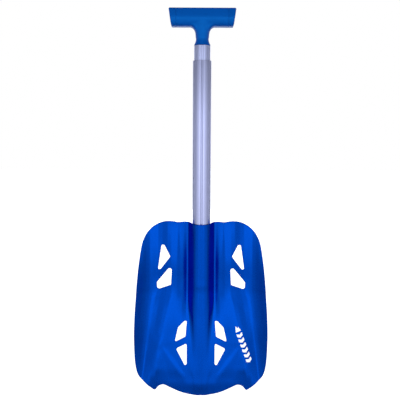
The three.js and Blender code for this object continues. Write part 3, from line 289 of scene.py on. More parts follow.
def bake(ob):
    """Applies an object's modifiers to its mesh."""
    dg = bpy.context.evaluated_depsgraph_get()
    me = bpy.data.meshes.new_from_object(ob.evaluated_get(dg), preserve_all_data_layers=True, depsgraph=dg)
    ob.modifiers.clear()
    old = ob.data
    ob.data = me
    bpy.data.meshes.remove(old)
    return ob


def cut(ob, cutter, operation="DIFFERENCE", sharp_deg=32.0):
    m = ob.modifiers.new("cut", "BOOLEAN")
    m.operation, m.solver, m.object = operation, "EXACT", cutter
    bpy.context.view_layer.update()
    bake(ob)
    me = cutter.data
    bpy.data.objects.remove(cutter)
    bpy.data.meshes.remove(me)
    ob.data.shade_smooth()
    ob.data.set_sharp_from_angle(angle=math.radians(sharp_deg))
    return ob


def bore_cutter(radius, y0, y1, z, segments=72):
    v, f = lathe([(0, y0), (radius, y0), (radius, y1), (0, y1)], "y", (0, 0, z), segments)
    return add_mesh("cutter", v, f)


# ------------------------------------------------------------------ blade relief
def pchip(xp, yp, x):
    h, d = np.diff(xp), np.diff(yp) / np.diff(xp)
    m = np.zeros_like(yp)
    ok = d[:-1] * d[1:] > 0
    w1, w2 = 2 * h[1:] + h[:-1], h[1:] + 2 * h[:-1]
    safe0, safe1 = np.where(ok, d[:-1], 1), np.where(ok, d[1:], 1)
    m[1:-1] = np.where(ok, (w1 + w2) / (w1 / safe0 + w2 / safe1), 0)
    m[0], m[-1] = d[0], d[-1]
    i = np.clip(np.searchsorted(xp, x) - 1, 0, len(h) - 1)
    t = np.clip((x - xp[i]) / h[i], 0, 1)
    return ((1 + 2 * t) * (1 - t) ** 2 * yp[i] + t * (1 - t) ** 2 * h[i] * m[i]
            + t * t * (3 - 2 * t) * yp[i + 1] + t * t * (t - 1) * h[i] * m[i + 1])


GX = np.arange(0, 126.01, 0.5)
GZ = np.arange(-12, 304.01, 0.5)


def smooth(grid, sigma_z, sigma_x):
    out = grid
    for axis, sigma in ((0, sigma_z), (1, sigma_x)):
        if sigma <= 0:
            continue
        n = int(3 * sigma / 0.5) + 1
        w = np.exp(-((np.arange(-n, n + 1) * 0.5) ** 2) / (2 * sigma * sigma))
        w /= w.sum()
        if axis == 1:
            pad = np.concatenate([out[:, n:0:-1], out, np.repeat(out[:, -1:], n, 1)], 1)
            out = sum(w[k] * pad[:, k:k + grid.shape[1]] for k in range(2 * n + 1))
        else:
            pad = np.concatenate([np.repeat(out[:1], n, 0), out, np.repeat(out[-1:], n, 0)], 0)
            out = sum(w[k] * pad[k:k + grid.shape[0]] for k in range(2 * n + 1))
    return out


def relief():
    xs, hs = [], []
    for line in RIDGES:
        a = np.array(line, float)[::-1]
        xs.append(pchip(a[:, 0], a[:, 1], GZ))
        hs.append(pchip(a[:, 0], a[:, 2], GZ))
    xs, hs = np.array(xs), np.array(hs)
    g = np.zeros((len(GZ), len(GX)))
    for k in range(len(GZ)):
        g[k] = np.interp(GX, np.maximum.accumulate(xs[:, k] + np.arange(len(xs)) * 1e-4), hs[:, k])
    return smooth(g, ROUND_Z, ROUND_X)


H = relief()
HZ, HX = np.gradient(H, 0.5, 0.5)
BACK = smooth(SHEET * np.minimum(np.sqrt(1 + HX ** 2 + HZ ** 2), 2.2), 1.0, 0.8)   # thickness along Y


def sample(grid, x, z):
    fx = np.clip(np.abs(x) / 0.5, 0, len(GX) - 1.001)
    fz = np.clip((z - GZ[0]) / 0.5, 0, len(GZ) - 1.001)
    i, k = fx.astype(int), fz.astype(int)
    a, b = fx - i, fz - k
    return ((grid[k, i] * (1 - a) + grid[k, i + 1] * a) * (1 - b)
            + (grid[k + 1, i] * (1 - a) + grid[k + 1, i + 1] * a) * b)


def front_y(x, z):
    return -sample(H, x, z)


def back_y(x, z):
    return -sample(H, x, z) + sample(BACK, x, z)


def front_normal(x, z):
    n = np.stack([-np.sign(x) * sample(HX, x, z), -np.ones_like(x), -sample(HZ, x, z)], 1)
    return n / np.linalg.norm(n, axis=1, keepdims=True)


# ------------------------------------------------------------------ blade
def blade_loops():
    half = np.array(OUTLINE, float)
    loop = np.concatenate([half, (half[1:-1] * [-1, 1])[::-1]])
    if area2(loop) < 0:
        loop = loop[::-1]
    outline = resample(chaikin(loop, 3), 1.15)
    holes = []
    for pts in CUTOUTS:
        for side in (1, -1):
            p = np.array(pts, float) * [side, 1]
            if area2(p) < 0:
                p = p[::-1]
            holes.append(resample(round_corners(p, CORNER_R, 8), 1.0))
    return outline, holes


def inside_even_odd(x, z, loops):
    """Even-odd test of many points against closed loops."""
    hit = np.zeros(len(x), bool)
    for loop in loops:
        q = np.roll(loop, -1, 0)
        for (x1, z1), (x2, z2) in zip(loop, q):
            if z1 == z2:
                continue
            m = (z1 > z) != (z2 > z)
            if m.any():
                hit[m] ^= x[m] < x1 + (z[m] - z1) * (x2 - x1) / (z2 - z1)
    return hit


# the rolled edge of the punched sheet: inset from the outline, share of the thickness, turn
RIM = [(0.5, 0.0, 0.0), (0.3, 0.03, 30.0), (0.12, 0.11, 58.0), (0.0, 0.27, 90.0),
       (0.0, 0.73, 90.0), (0.12, 0.89, 122.0), (0.3, 0.97, 150.0), (0.5, 1.0, 180.0)]


def fill(loops, spacing_x, spacing_z, margin):
    """Triangles of the region inside the first loop and outside the others: (2-D points, faces, loop indices)."""
    pts = [tuple(p) for loop in loops for p in loop]
    edges, start = [], 0
    for loop in loops:
        n = len(loop)
        edges += [(start + i, start + (i + 1) % n) for i in range(n)]
        start += n
    every = np.concatenate(loops)
    lo, hi = every.min(0), every.max(0)
    gx = np.arange(0, max(abs(lo[0]), abs(hi[0])) + spacing_x, spacing_x)
    gx = np.concatenate([-gx[:0:-1], gx])
    gz = np.arange(lo[1], hi[1], spacing_z)
    x, z = [a.ravel() for a in np.meshgrid(gx, gz)]
    keep = (x > lo[0]) & (x < hi[0])
    x, z = x[keep], z[keep]
    keep = inside_even_odd(x, z, loops)
    x, z = x[keep], z[keep]
    tree = kdtree.KDTree(len(every))
    for i, p in enumerate(every):
        tree.insert((p[0], p[1], 0), i)
    tree.balance()
    near = np.array([tree.find((a, b, 0))[2] for a, b in zip(x, z)]) if len(x) else np.zeros(0)
    x, z = x[near > margin], z[near > margin]
    coords = [Vector(p) for p in pts] + [Vector((a, b)) for a, b in zip(x, z)]
    v, _, f, orig, _, _ = geometry.delaunay_2d_cdt(coords, edges, [], 1, 1e-5)
    v = np.array([(p[0], p[1]) for p in v])
    where = {}
    for out, ids in enumerate(orig):
        for i in ids:
            where[i] = out
    f = np.array([t for t in f if len(t) == 3])
    c = v[f].mean(1)
    f = f[inside_even_odd(c[:, 0], c[:, 1], loops)]
    a, b, c = v[f[:, 0]], v[f[:, 1]], v[f[:, 2]]
    s = (b[:, 0] - a[:, 0]) * (c[:, 1] - a[:, 1]) - (b[:, 1] - a[:, 1]) * (c[:, 0] - a[:, 0])
    f[s < 0] = f[s < 0][:, ::-1]
    f = f[np.abs(s) > 1e-9]
    rows, start = [], 0
    for loop in loops:
        rows.append([where[start + i] for i in range(len(loop))])
        start += len(loop)
    return v, f, rows


def sheet_body(outline, holes, spacing_x, spacing_z):
    """The blade as one closed sheet with rolled rims: (verts, faces, normals, rim share)."""
    true = [outline] + holes
    # outward means out of the material: away from the outline's inside, into each hole
    out_n = []
    for k, loop in enumerate(true):
        n = offset_loop(loop, 1.0) - loop
        n /= np.linalg.norm(n, axis=1, keepdims=True)
        out_n.append(n if k == 0 else -n)
    inner = [loop - n * RIM[0][0] for loop, n in zip(true, out_n)]
    v2, tri, rows = fill(inner, spacing_x, spacing_z, 0.75 * min(spacing_x, spacing_z))
    x, z = v2[:, 0], v2[:, 1]
    nf = front_normal(x, z)
    front = np.stack([x, front_y(x, z), z], 1)
    back = np.stack([x, back_y(x, z), z], 1)
    verts = [front, back]
    normals = [nf, -nf]
    rim = [np.zeros(len(front)), np.zeros(len(front))]
    count = len(front)
    faces = [tuple(t) for t in tri] + [(a + count, c + count, b + count) for a, b, c in tri]
    total = 2 * count
    for k, (loop, n2, row) in enumerate(zip(true, out_n, rows)):
        m = len(loop)
        idx = [np.array(row)]
        for inset, share, turn in RIM[1:-1]:
            p = loop - n2 * inset
            yf, yb = front_y(p[:, 0], p[:, 1]), back_y(p[:, 0], p[:, 1])
            verts.append(np.stack([p[:, 0], yf + (yb - yf) * share, p[:, 1]], 1))
            t = math.radians(turn)
            nn = front_normal(p[:, 0], p[:, 1]) * math.cos(t) + np.stack([n2[:, 0], 0 * n2[:, 0], n2[:, 1]], 1) * math.sin(t)
            normals.append(nn / np.linalg.norm(nn, axis=1, keepdims=True))
            rim.append(np.ones(m))
            idx.append(np.arange(total, total + m))
            total += m
        idx.append(np.array(row) + count)
        for a, b in zip(idx[:-1], idx[1:]):
            for i in range(m):
                j = (i + 1) % m
                q = (a[j], a[i], b[i], b[j]) if k == 0 else (a[i], a[j], b[j], b[i])
                faces.append(q)
    return np.concatenate(verts), faces, np.concatenate(normals), np.concatenate(rim)


# ------------------------------------------------------------------ tubes and plugs
def grooved(r, depth, half_width, segments=150):
    """A round section with a rounded key groove at the front (-Y), counter-clockwise."""
    gap = math.asin(half_width / r)
    t = np.linspace(-1, 1, 21)[:-1]
    a1 = -math.pi / 2 + t * gap
    r1 = r - depth * 0.5 * (1 + np.cos(math.pi * t))
    a2 = -math.pi / 2 + gap + (2 * math.pi - 2 * gap) * np.arange(segments) / segments
    a, rr = np.concatenate([a1, a2]), np.concatenate([r1, np.full(segments, r)])
    return np.stack([rr * np.cos(a), rr * np.sin(a)], 1)


def at(loop, z):
    return np.concatenate([loop, np.full((len(loop), 1), z)], 1)


def edge_steps(e, n=4):
    """Inset and rise of a rounded edge of radius e."""
    return [(e * (1 - math.sin(k / n * math.pi / 2)), e * (1 - math.cos(k / n * math.pi / 2))) for k in range(n + 1)]


def tube(name, outer, inner, z0, z1, edge=0.4):
    rings = [at(offset_loop(outer, -i), z0 + d) for i, d in edge_steps(edge)]
    rings += [at(offset_loop(outer, -i), z1 - d) for i, d in edge_steps(edge)[::-1]]
    rings += [at(offset_loop(inner, i), z1 - d) for i, d in edge_steps(edge * 0.7)]
    rings += [at(offset_loop(inner, i), z0 + d) for i, d in edge_steps(edge * 0.7)[::-1]]
    v, f = stack(rings, closed=True)
    return add_mesh(name, v, f)


def prism(name, loop, z0, z1, edge=0.3):
    """A solid along Z from a counter-clockwise loop, its end edges rounded."""
    rings = [at(offset_loop(loop, -i), z0 + d) for i, d in edge_steps(edge, 3)]
    rings += [at(offset_loop(loop, -i), z1 - d) for i, d in edge_steps(edge, 3)[::-1]]
    v, f = stack(rings)
    return add_mesh(name, v, f)


def prism_x(name, loop, x0, x1, edge=0.25):
    """A solid along X from a counter-clockwise (Y, Z) loop."""
    def ring(l, x):
        return np.concatenate([np.full((len(l), 1), x), l], 1)
    rings = [ring(offset_loop(loop, -i), x0 + d) for i, d in edge_steps(edge, 3)]
    rings += [ring(offset_loop(loop, -i), x1 - d) for i, d in edge_steps(edge, 3)[::-1]]
    v, f = stack(rings)
    return add_mesh(name, v, f)


def revolved(name, profile, axis, centre, segments=72):
    v, f = lathe(profile, axis, centre, segments)
    return add_mesh(name, v, f, sharp_deg=38.0)


def rounded_profile(points, radii, steps=5):
    """(radius, along) profile from axis to axis, its inner corners rounded."""
    p = [np.array(q, float) for q in points]
    out = [p[0]]
    for i in range(1, len(p) - 1):
        r = radii[i] if i < len(radii) else 0
        if r <= 0:
            out.append(p[i])
            continue
        arc = round_corners([p[i - 1], p[i], p[i + 1]], [0, r, 0], steps, closed=False)
        out.extend(arc[1:-1])
    out.append(p[-1])
    return [(max(0.0, float(a)), float(b)) for a, b in out]


def flip(ob):
    ob.data.flip_normals()
    return ob


# ------------------------------------------------------------------ smooth moulded solids
def poly_distance(px, py, loop):
    """Signed distance to a closed polygon, negative inside."""
    d2 = np.full(px.shape, 1e18)
    inside = np.zeros(px.shape, bool)
    q = np.roll(loop, -1, 0)
    for (x1, y1), (x2, y2) in zip(loop, q):
        ex, ey = x2 - x1, y2 - y1
        l2 = ex * ex + ey * ey
        if l2 < 1e-12:
            continue
        t = np.clip(((px - x1) * ex + (py - y1) * ey) / l2, 0, 1)
        d2 = np.minimum(d2, (px - x1 - t * ex) ** 2 + (py - y1 - t * ey) ** 2)
        if y1 != y2:
            m = (y1 > py) != (y2 > py)
            inside ^= m & (px < x1 + (py - y1) * ex / ey)
    d = np.sqrt(d2)
    return np.where(inside, -d, d)


def smin(a, b, k):
    h = np.maximum(k - np.abs(a - b), 0) / k
    return np.minimum(a, b) - h * h * k / 4


def smax(a, b, k):
    return -smin(-a, -b, k)


def surface_net(f, lo, hi, step, project=3):
    """A closed quad mesh of f = 0, its points moved onto the surface, with normals from f."""
    axes = [np.arange(a, b + step, step) for a, b in zip(lo, hi)]
    g = np.meshgrid(*axes, indexing="ij")
    shape = g[0].shape
    p = np.stack([a.ravel() for a in g], 1)
    d = np.concatenate([f(p[i:i + 200000]) for i in range(0, len(p), 200000)]).reshape(shape)
    s = d < 0
    cell = np.zeros([n - 1 for n in shape], int)
    total = np.zeros(cell.shape + (3,))
    count = np.zeros(cell.shape, int)
    nx, ny, nz = cell.shape

    def corner(a, i, j, k):
        return a[i:i + nx, j:j + ny, k:k + nz]
    corners = [(i, j, k) for i in (0, 1) for j in (0, 1) for k in (0, 1)]
    for a in corners:
        for axis in range(3):
            if a[axis]:
                continue
            b = list(a)
            b[axis] = 1
            da, db = corner(d, *a), corner(d, *b)
            m = (da < 0) != (db < 0)
            t = np.where(m, da / np.where(m, da - db, 1), 0)
            for c in range(3):
                off = a[c] + (t if c == axis else 0)
                total[..., c] += np.where(m, off, 0)
            count += m
    active = count > 0
    ids = -np.ones(cell.shape, int)
    ids[active] = np.arange(active.sum())
    where = np.argwhere(active)
    v = (where + total[active] / count[active][:, None]) * step + np.array(lo, float)
    faces = []
    for axis in range(3):
        u, w = (axis + 1) % 3, (axis + 2) % 3
        sl0 = [slice(None)] * 3
        sl1 = [slice(None)] * 3
        sl0[axis], sl1[axis] = slice(0, -1), slice(1, None)
        change = s[tuple(sl0)] != s[tuple(sl1)]
        e = np.argwhere(change)
        e = e[(e[:, u] > 0) & (e[:, w] > 0) & (e[:, u] < shape[u] - 1) & (e[:, w] < shape[w] - 1)]
        first = s[e[:, 0], e[:, 1], e[:, 2]]
        q = []
        for du, dw in ((0, 0), (-1, 0), (-1, -1), (0, -1)):
            c = e.copy()
            c[:, u] += du
            c[:, w] += dw
            q.append(ids[c[:, 0], c[:, 1], c[:, 2]])
        q = np.stack(q, 1)
        q[~first] = q[~first][:, ::-1]
        faces.append(q)
    faces = np.concatenate(faces)

    def gradient(p, h=0.04):
        out = np.zeros_like(p)
        for c in range(3):
            o = np.zeros(3)
            o[c] = h
            out[:, c] = (f(p + o) - f(p - o)) / (2 * h)
        return out
    for _ in range(project):
        n = gradient(v)
        l2 = np.maximum((n * n).sum(1, keepdims=True), 0.25)
        v = v - np.clip(f(v)[:, None] / l2, -0.5 * step, 0.5 * step) * n
    n = gradient(v)
    n /= np.maximum(np.linalg.norm(n, axis=1, keepdims=True), 1e-9)
    return v, faces, n


# ------------------------------------------------------------------ materials
class Nodes:
    """Small helper that lays out a procedural material."""

    def __init__(self, name):
        self.mat = bpy.data.materials.new(name)
        self.mat.use_nodes = True
        self.tree = self.mat.node_tree
        self.tree.nodes.clear()
        self.out = self.tree.nodes.new("ShaderNodeOutputMaterial")
        self.shader = self.tree.nodes.new("ShaderNodeBsdfPrincipled")
        self.tree.links.new(self.shader.outputs[0], self.out.inputs[0])
        self.coord = self.tree.nodes.new("ShaderNodeTexCoord")

    def link(self, a, b):
        self.tree.links.new(a, b)
        return a

    def mapping(self, scale, rotation=(0, 0, 0)):
        n = self.tree.nodes.new("ShaderNodeMapping")
        n.inputs["Scale"].default_value = scale
        n.inputs["Rotation"].default_value = rotation
        self.link(self.coord.outputs["Object"], n.inputs["Vector"])
        return n.outputs["Vector"]

    def noise(self, scale, detail=3.0, rough=0.55, vector=None, distortion=0.0):
        n = self.tree.nodes.new("ShaderNodeTexNoise")
        n.inputs["Scale"].default_value = scale
        n.inputs["Detail"].default_value = detail
        n.inputs["Roughness"].default_value = rough
        n.inputs["Distortion"].default_value = distortion
        self.link(vector or self.coord.outputs["Object"], n.inputs["Vector"])
        return n.outputs["Fac"]

    def voronoi(self, scale, vector=None, feature="F1"):
        n = self.tree.nodes.new("ShaderNodeTexVoronoi")
        n.feature = feature
        n.inputs["Scale"].default_value = scale
        self.link(vector or self.coord.outputs["Object"], n.inputs["Vector"])
        return n.outputs["Distance"]

    def ramp(self, value, low, high, out_low, out_high, smooth=False):
        n = self.tree.nodes.new("ShaderNodeMapRange")
        n.interpolation_type = "SMOOTHSTEP" if smooth else "LINEAR"
        for k, v in (("From Min", low), ("From Max", high), ("To Min", out_low), ("To Max", out_high)):
            n.inputs[k].default_value = v
        self.link(value, n.inputs["Value"])
        return n.outputs["Result"]

    def math(self, op, a, b, clamp=False):
        n = self.tree.nodes.new("ShaderNodeMath")
        n.operation = op
        n.use_clamp = clamp
        for k, v in enumerate((a, b)):
            if isinstance(v, (int, float)):
                n.inputs[k].default_value = v
            else:
                self.link(v, n.inputs[k])
        return n.outputs[0]

    def mix(self, fac, a, b, blend="MIX"):
        n = self.tree.nodes.new("ShaderNodeMix")
        n.data_type = "RGBA"
        n.blend_type = blend
        for key, v in (("Factor", fac), ("A", a), ("B", b)):
            s = [i for i in n.inputs if i.name == key and i.enabled][0]
            if isinstance(v, (int, float)):
                s.default_value = v
            elif isinstance(v, (tuple, list)):
                s.default_value = (*v, 1.0) if len(v) == 3 else v
            else:
                self.link(v, s)
        return [o for o in n.outputs if o.enabled][0]

    def attribute(self, name):
        n = self.tree.nodes.new("ShaderNodeAttribute")
        n.attribute_name = name
        return n.outputs["Fac"]

    def bump(self, height, strength, distance, normal=None):
        n = self.tree.nodes.new("ShaderNodeBump")
        n.inputs["Strength"].default_value = strength
        n.inputs["Distance"].default_value = distance
        self.link(height, n.inputs["Height"])
        if normal is not None:
            self.link(normal, n.inputs["Normal"])
        return n.outputs["Normal"]

    def set(self, **values):
        names = {"color": "Base Color", "rough": "Roughness", "metal": "Metallic", "normal": "Normal",
                 "specular": "Specular IOR Level", "coat": "Coat Weight", "coat_rough": "Coat Roughness",
                 "ior": "IOR", "tint": "Specular Tint", "aniso": "Anisotropic"}
        for k, v in values.items():
            s = self.shader.inputs[names[k]]
            if isinstance(v, (int, float)):
                s.default_value = v
            elif isinstance(v, (tuple, list)):
                s.default_value = (*v, 1.0) if len(v) == 3 else v
            else:
                self.link(v, s)
        return self.mat


def srgb(r, g, b):
    def f(c):
        c /= 255.0
        return c / 12.92 if c <= 0.04045 else ((c + 0.055) / 1.055) ** 2.4
    return (f(r), f(g), f(b))


def scaled(c, k):
    return tuple(min(1.0, v * k) for v in c)


def anodised(name, light, rough, wear=0.0):
    """Dyed, bead-blasted aluminium: fine grain, cloudy dye, faint drawing lines from the press."""
    m = Nodes(name)
    cloud = m.noise(34, 4, 0.6)
    grain = m.noise(1900, 2, 0.7)
    lines = m.noise(1.0, 3, 0.6, m.mapping((620, 620, 9)))
    tone = m.math("ADD", m.ramp(cloud, 0.3, 0.7, 0.93, 1.03), m.ramp(grain, 0.3, 0.7, -0.05, 0.05))
    tone = m.math("ADD", tone, m.ramp(lines, 0.3, 0.7, -0.025, 0.025))
    col = m.mix(m.ramp(tone, 0.85, 1.1, 0.0, 1.0), scaled(light, 0.84), scaled(light, 1.06))
    scratch_a = m.ramp(m.noise(1.0, 2, 0.5, m.mapping((900, 900, 22), (0.0, 0.5, 0.0))), 0.715, 0.75, 0.0, 1.0, True)
    scratch_b = m.ramp(m.noise(1.0, 2, 0.5, m.mapping((30, 900, 1000), (0.0, 0.35, 0.0))), 0.735, 0.77, 0.0, 1.0, True)
    scratch = m.math("MAXIMUM", scratch_a, scratch_b)
    col = m.mix(m.math("MULTIPLY", scratch, 0.16), col, scaled(light, 1.25))
    if wear > 0:
        edge = m.math("MULTIPLY", m.attribute("rim"), m.ramp(m.noise(150, 4, 0.65), 0.42, 0.62, 0.0, wear))
        col = m.mix(edge, col, srgb(120, 150, 205))
    r = m.math("ADD", m.ramp(cloud, 0.3, 0.7, rough - 0.03, rough + 0.04), m.ramp(grain, 0.3, 0.7, -0.04, 0.04))
    r = m.math("ADD", r, m.math("MULTIPLY", scratch, -0.06), True)
    n1 = m.bump(grain, 0.22, 0.00006)
    n2 = m.bump(lines, 0.12, 0.00005, n1)
    return m.set(color=col, rough=r, metal=1.0, normal=m.bump(scratch, 0.15, 0.00004, n2), tint=(0.35, 0.5, 0.9))


def drawn_tube(name, light, rough, painted_shade_from=None):
    """Drawn, satin-anodised aluminium tube: fine lines along the shaft, soft clouds, a few rubs."""
    m = Nodes(name)
    lines = m.noise(1.0, 4, 0.65, m.mapping((1300, 1300, 6)))
    wide = m.noise(1.0, 2, 0.5, m.mapping((240, 240, 4)))
    cloud = m.noise(26, 3, 0.6)
    grain = m.noise(2600, 2, 0.6)
    tone = m.math("ADD", m.ramp(lines, 0.3, 0.7, -0.045, 0.045), m.ramp(wide, 0.3, 0.7, -0.03, 0.03))
    tone = m.math("ADD", tone, m.ramp(cloud, 0.3, 0.7, 0.97, 1.02))
    tone = m.math("ADD", tone, m.ramp(grain, 0.3, 0.7, -0.03, 0.03))
    rub = m.ramp(m.noise(1.0, 3, 0.6, m.mapping((500, 500, 30))), 0.66, 0.72, 0.0, 1.0, True)
    col = m.mix(m.ramp(tone, 0.85, 1.1, 0.0, 1.0), scaled(light, 0.85), scaled(light, 1.06))
    col = m.mix(m.math("MULTIPLY", rub, 0.2), col, scaled(light, 0.72))
    if painted_shade_from is not None:      # painted shade: the sleeve's colour darkens over its top end, standing in for the light falling off there
        split = m.tree.nodes.new("ShaderNodeSeparateXYZ")
        m.link(m.coord.outputs["Object"], split.inputs[0])
        height = m.math("ADD", split.outputs["Z"], m.ramp(cloud, 0.3, 0.7, -0.004, 0.004))
        painted_shade = m.ramp(height, painted_shade_from - 0.11, painted_shade_from, 0.0, 0.42, True)
        col = m.mix(painted_shade, col, scaled(light, 0.45))
    r = m.math("ADD", m.ramp(lines, 0.3, 0.7, rough - 0.05, rough + 0.05), m.math("MULTIPLY", rub, 0.05), True)
    n1 = m.bump(lines, 0.16, 0.00005)
    return m.set(color=col, rough=r, metal=1.0, normal=m.bump(grain, 0.1, 0.00003, n1))


def moulded(name, light, rough, level, tint=(1.0, 1.0, 1.0), ior=1.5):
    """Moulded plastic: spark-eroded texture, faint flow clouds, rubbed high spots."""
    m = Nodes(name)
    cell = m.voronoi(1150)
    fine = m.noise(2100, 3, 0.6)
    cloud = m.noise(45, 3, 0.55, None, 0.4)
    tone = m.math("ADD", m.ramp(cloud, 0.3, 0.7, 0.94, 1.04), m.ramp(fine, 0.3, 0.7, -0.05, 0.05))
    col = m.mix(m.ramp(tone, 0.85, 1.1, 0.0, 1.0), scaled(light, 0.85), scaled(light, 1.07))
    rub = m.ramp(m.noise(120, 4, 0.6), 0.6, 0.72, 0.0, 1.0, True)
    r = m.math("ADD", m.ramp(fine, 0.3, 0.7, rough - 0.06, rough + 0.06), m.math("MULTIPLY", rub, -0.07), True)
    n1 = m.bump(cell, 0.28, 0.00009)
    return m.set(color=col, rough=r, metal=0.0, specular=level, tint=tint, ior=ior,
                 normal=m.bump(fine, 0.2, 0.00005, n1))


def turned_steel(name, light, rough):
    m = Nodes(name)
    rings = m.noise(1.0, 3, 0.6, m.mapping((1500, 300, 1500)))
    spots = m.noise(420, 4, 0.6)
    col = m.mix(m.ramp(spots, 0.35, 0.7, 0.0, 1.0), scaled(light, 0.88), light)
    r = m.math("ADD", m.ramp(rings, 0.3, 0.7, rough - 0.05, rough + 0.07), m.ramp(spots, 0.4, 0.7, 0.0, 0.08), True)
    return m.set(color=col, rough=r, metal=1.0, normal=m.bump(rings, 0.14, 0.00004))


def weld_metal(name, light, rough):
    m = Nodes(name)
    soot = m.noise(260, 4, 0.65)
    fine = m.noise(1800, 3, 0.6)
    col = m.mix(m.ramp(soot, 0.35, 0.68, 0.0, 1.0), scaled(light, 0.62), light)
    r = m.math("ADD", m.ramp(soot, 0.3, 0.7, rough + 0.08, rough - 0.05), m.ramp(fine, 0.3, 0.7, -0.05, 0.05), True)
    return m.set(color=col, rough=r, metal=1.0, normal=m.bump(fine, 0.25, 0.00008))


def print_ink(name):
    """Pad-printed white ink: slightly uneven cover, with a faint painted glow."""
    m = Nodes(name)
    cover = m.noise(900, 3, 0.6)
    fine = m.noise(2600, 2, 0.6)
    col = m.mix(m.ramp(cover, 0.32, 0.62, 0.0, 1.0), (0.90, 0.92, 0.97), (0.97, 0.975, 0.985))
    # painted light: the ink glows faintly so it stays bright white whatever the lamps
    m.link(col, m.shader.inputs["Emission Color"])
    m.shader.inputs["Emission Strength"].default_value = 0.35
    return m.set(color=col, rough=m.ramp(cover, 0.3, 0.7, 0.42, 0.56), metal=0.0, specular=0.4,
                 normal=m.bump(fine, 0.15, 0.00004))


BLADE_BLUE = anodised("anodised_blade", (0.0003, 0.061, 0.468), 0.28, 0.0)
SOCKET_BLUE = anodised("anodised_socket", (0.0003, 0.058, 0.43), 0.34, 0.0)
TUBE_OUTER = drawn_tube("tube_outer", (0.48, 0.525, 0.83), 0.33, 0.552)
TUBE_INNER = drawn_tube("tube_inner", (0.465, 0.52, 0.83), 0.31)
GRIP_BLUE = moulded("grip_plastic", (0.0, 0.087, 0.485), 0.42, 1.0, (0.02, 0.36, 1.0), 1.62)
CAP_BLUE = moulded("cap_plastic", (0.0, 0.085, 0.475), 0.42, 1.0, (0.02, 0.36, 1.0), 1.62)
BLACK = moulded("black_plastic", (0.012, 0.012, 0.014), 0.5, 0.4)
STEEL = turned_steel("button_steel", (0.62, 0.62, 0.63), 0.24)
SPRING = turned_steel("spring_steel", (0.50, 0.50, 0.51), 0.30)
RIVET = turned_steel("rivet_aluminium", (0.72, 0.73, 0.76), 0.33)
WELD_BLUE = weld_metal("weld", (0.01, 0.06, 0.34), 0.42)
INK = print_ink("white_ink")


# ------------------------------------------------------------------ blade and its print
OUT_LOOP, HOLE_LOOPS = blade_loops()
bv, bf, bn, brim = sheet_body(OUT_LOOP, HOLE_LOOPS, GRID_X, GRID_Z)
blade = add_mesh("blade_sheet", bv, bf, bn)
rim = blade.data.attributes.new("rim", "FLOAT", "POINT")
rim.data.foreach_set("value", brim.astype(np.float32))
place(blade, "blade_body", "blade_anodised", BLADE_BLUE, "blade")


def decal(name, loop, step=1.1, over=0.07, under=0.05):
    """A thin printed patch that follows the blade's front; loop in (X, Z)."""
    if area2(loop) < 0:
        loop = loop[::-1]
    v2, tri, rows = fill([loop], step, step, 0.5 * step)
    x, z = v2[:, 0], v2[:, 1]
    n = front_normal(x, z)
    base = np.stack([x, front_y(x, z), z], 1)
    m = len(base)
    verts = np.concatenate([base + n * over, base - n * under])
    faces = [tuple(t) for t in tri] + [(a + m, c + m, b + m) for a, b, c in tri]
    row = rows[0]
    for i in range(len(row)):
        a, b = row[i], row[(i + 1) % len(row)]
        faces.append((b, a, a + m, b + m))
    return add_mesh(name, verts, faces)


# A generic printed mark: a twin-peak sign and a row of chevrons down the slope of the rib.
MARK_A, MARK_B, MARK_W = np.array([59.3, 117.6]), np.array([82.4, 56.0]), 9.4
axis = (MARK_B - MARK_A) / np.linalg.norm(MARK_B - MARK_A)
side = np.array([-axis[1], axis[0]])          # towards the wing
length = np.linalg.norm(MARK_B - MARK_A)


def mark(points, radius=0.35):
    """A closed shape in the mark's own frame: along the line, across it."""
    p = [MARK_A + axis * u + side * v for u, v in points]
    if area2(p) < 0:
        p = p[::-1]
    return resample(round_corners(p, radius, 3), 0.8)


h = MARK_W / 2
marks = [mark([(10.6, -h), (0.4, -1.7), (5.4, 0.9), (2.6, 2.0), (10.6, h)])]
count, start, pitch, stroke = 6, 13.4, (length - 13.4) / 6, 5.1
for k in range(count):
    u = start + k * pitch
    nose = 2.6
    marks.append(mark([(u, -h), (u + stroke, -h), (u + stroke + nose, 0), (u + stroke, h), (u, h), (u + nose, 0)]))
parts = [decal("printed_mark_%d" % (k + 1), loop) for k, loop in enumerate(marks)]
for ob in parts:
    place(ob, "blade_body", "blade_anodised", INK)

# ------------------------------------------------------------------ socket channel and welds
inner = round_corners([(-20.3, 4.2), (-7.5, 15.4), (7.5, 15.4), (20.3, 4.2)], [0, 3.2, 3.2, 0], 8, closed=False)
outer = round_corners([(22.9, 4.2), (8.3, 17.2), (-8.3, 17.2), (-22.9, 4.2)], [0, 4.8, 4.8, 0], 8, closed=False)
section = np.concatenate([inner, outer])
if area2(section) < 0:
    section = section[::-1]
channel = prism("socket_channel_formed", resample(section, 0.9), 180.1, 284.0, 0.45)
stop = prism("stop_tab", round_corners([(-12, 2), (12, 2), (9, 13), (7.5, 16.0), (-7.5, 16.0), (-9, 13)], 1.0, 4)
             if area2([(-12, 2), (12, 2), (9, 13)]) > 0 else [], 180.15, 181.9, 0.3)
cut(channel, stop, "UNION")
cut(channel, bore_cutter(LOWER_PIN_R + HOLE_CLEAR, 12, 22, LOWER_LOCK_Z))
place(channel, "blade_body", "socket_anodised", SOCKET_BLUE, "socket_channel")


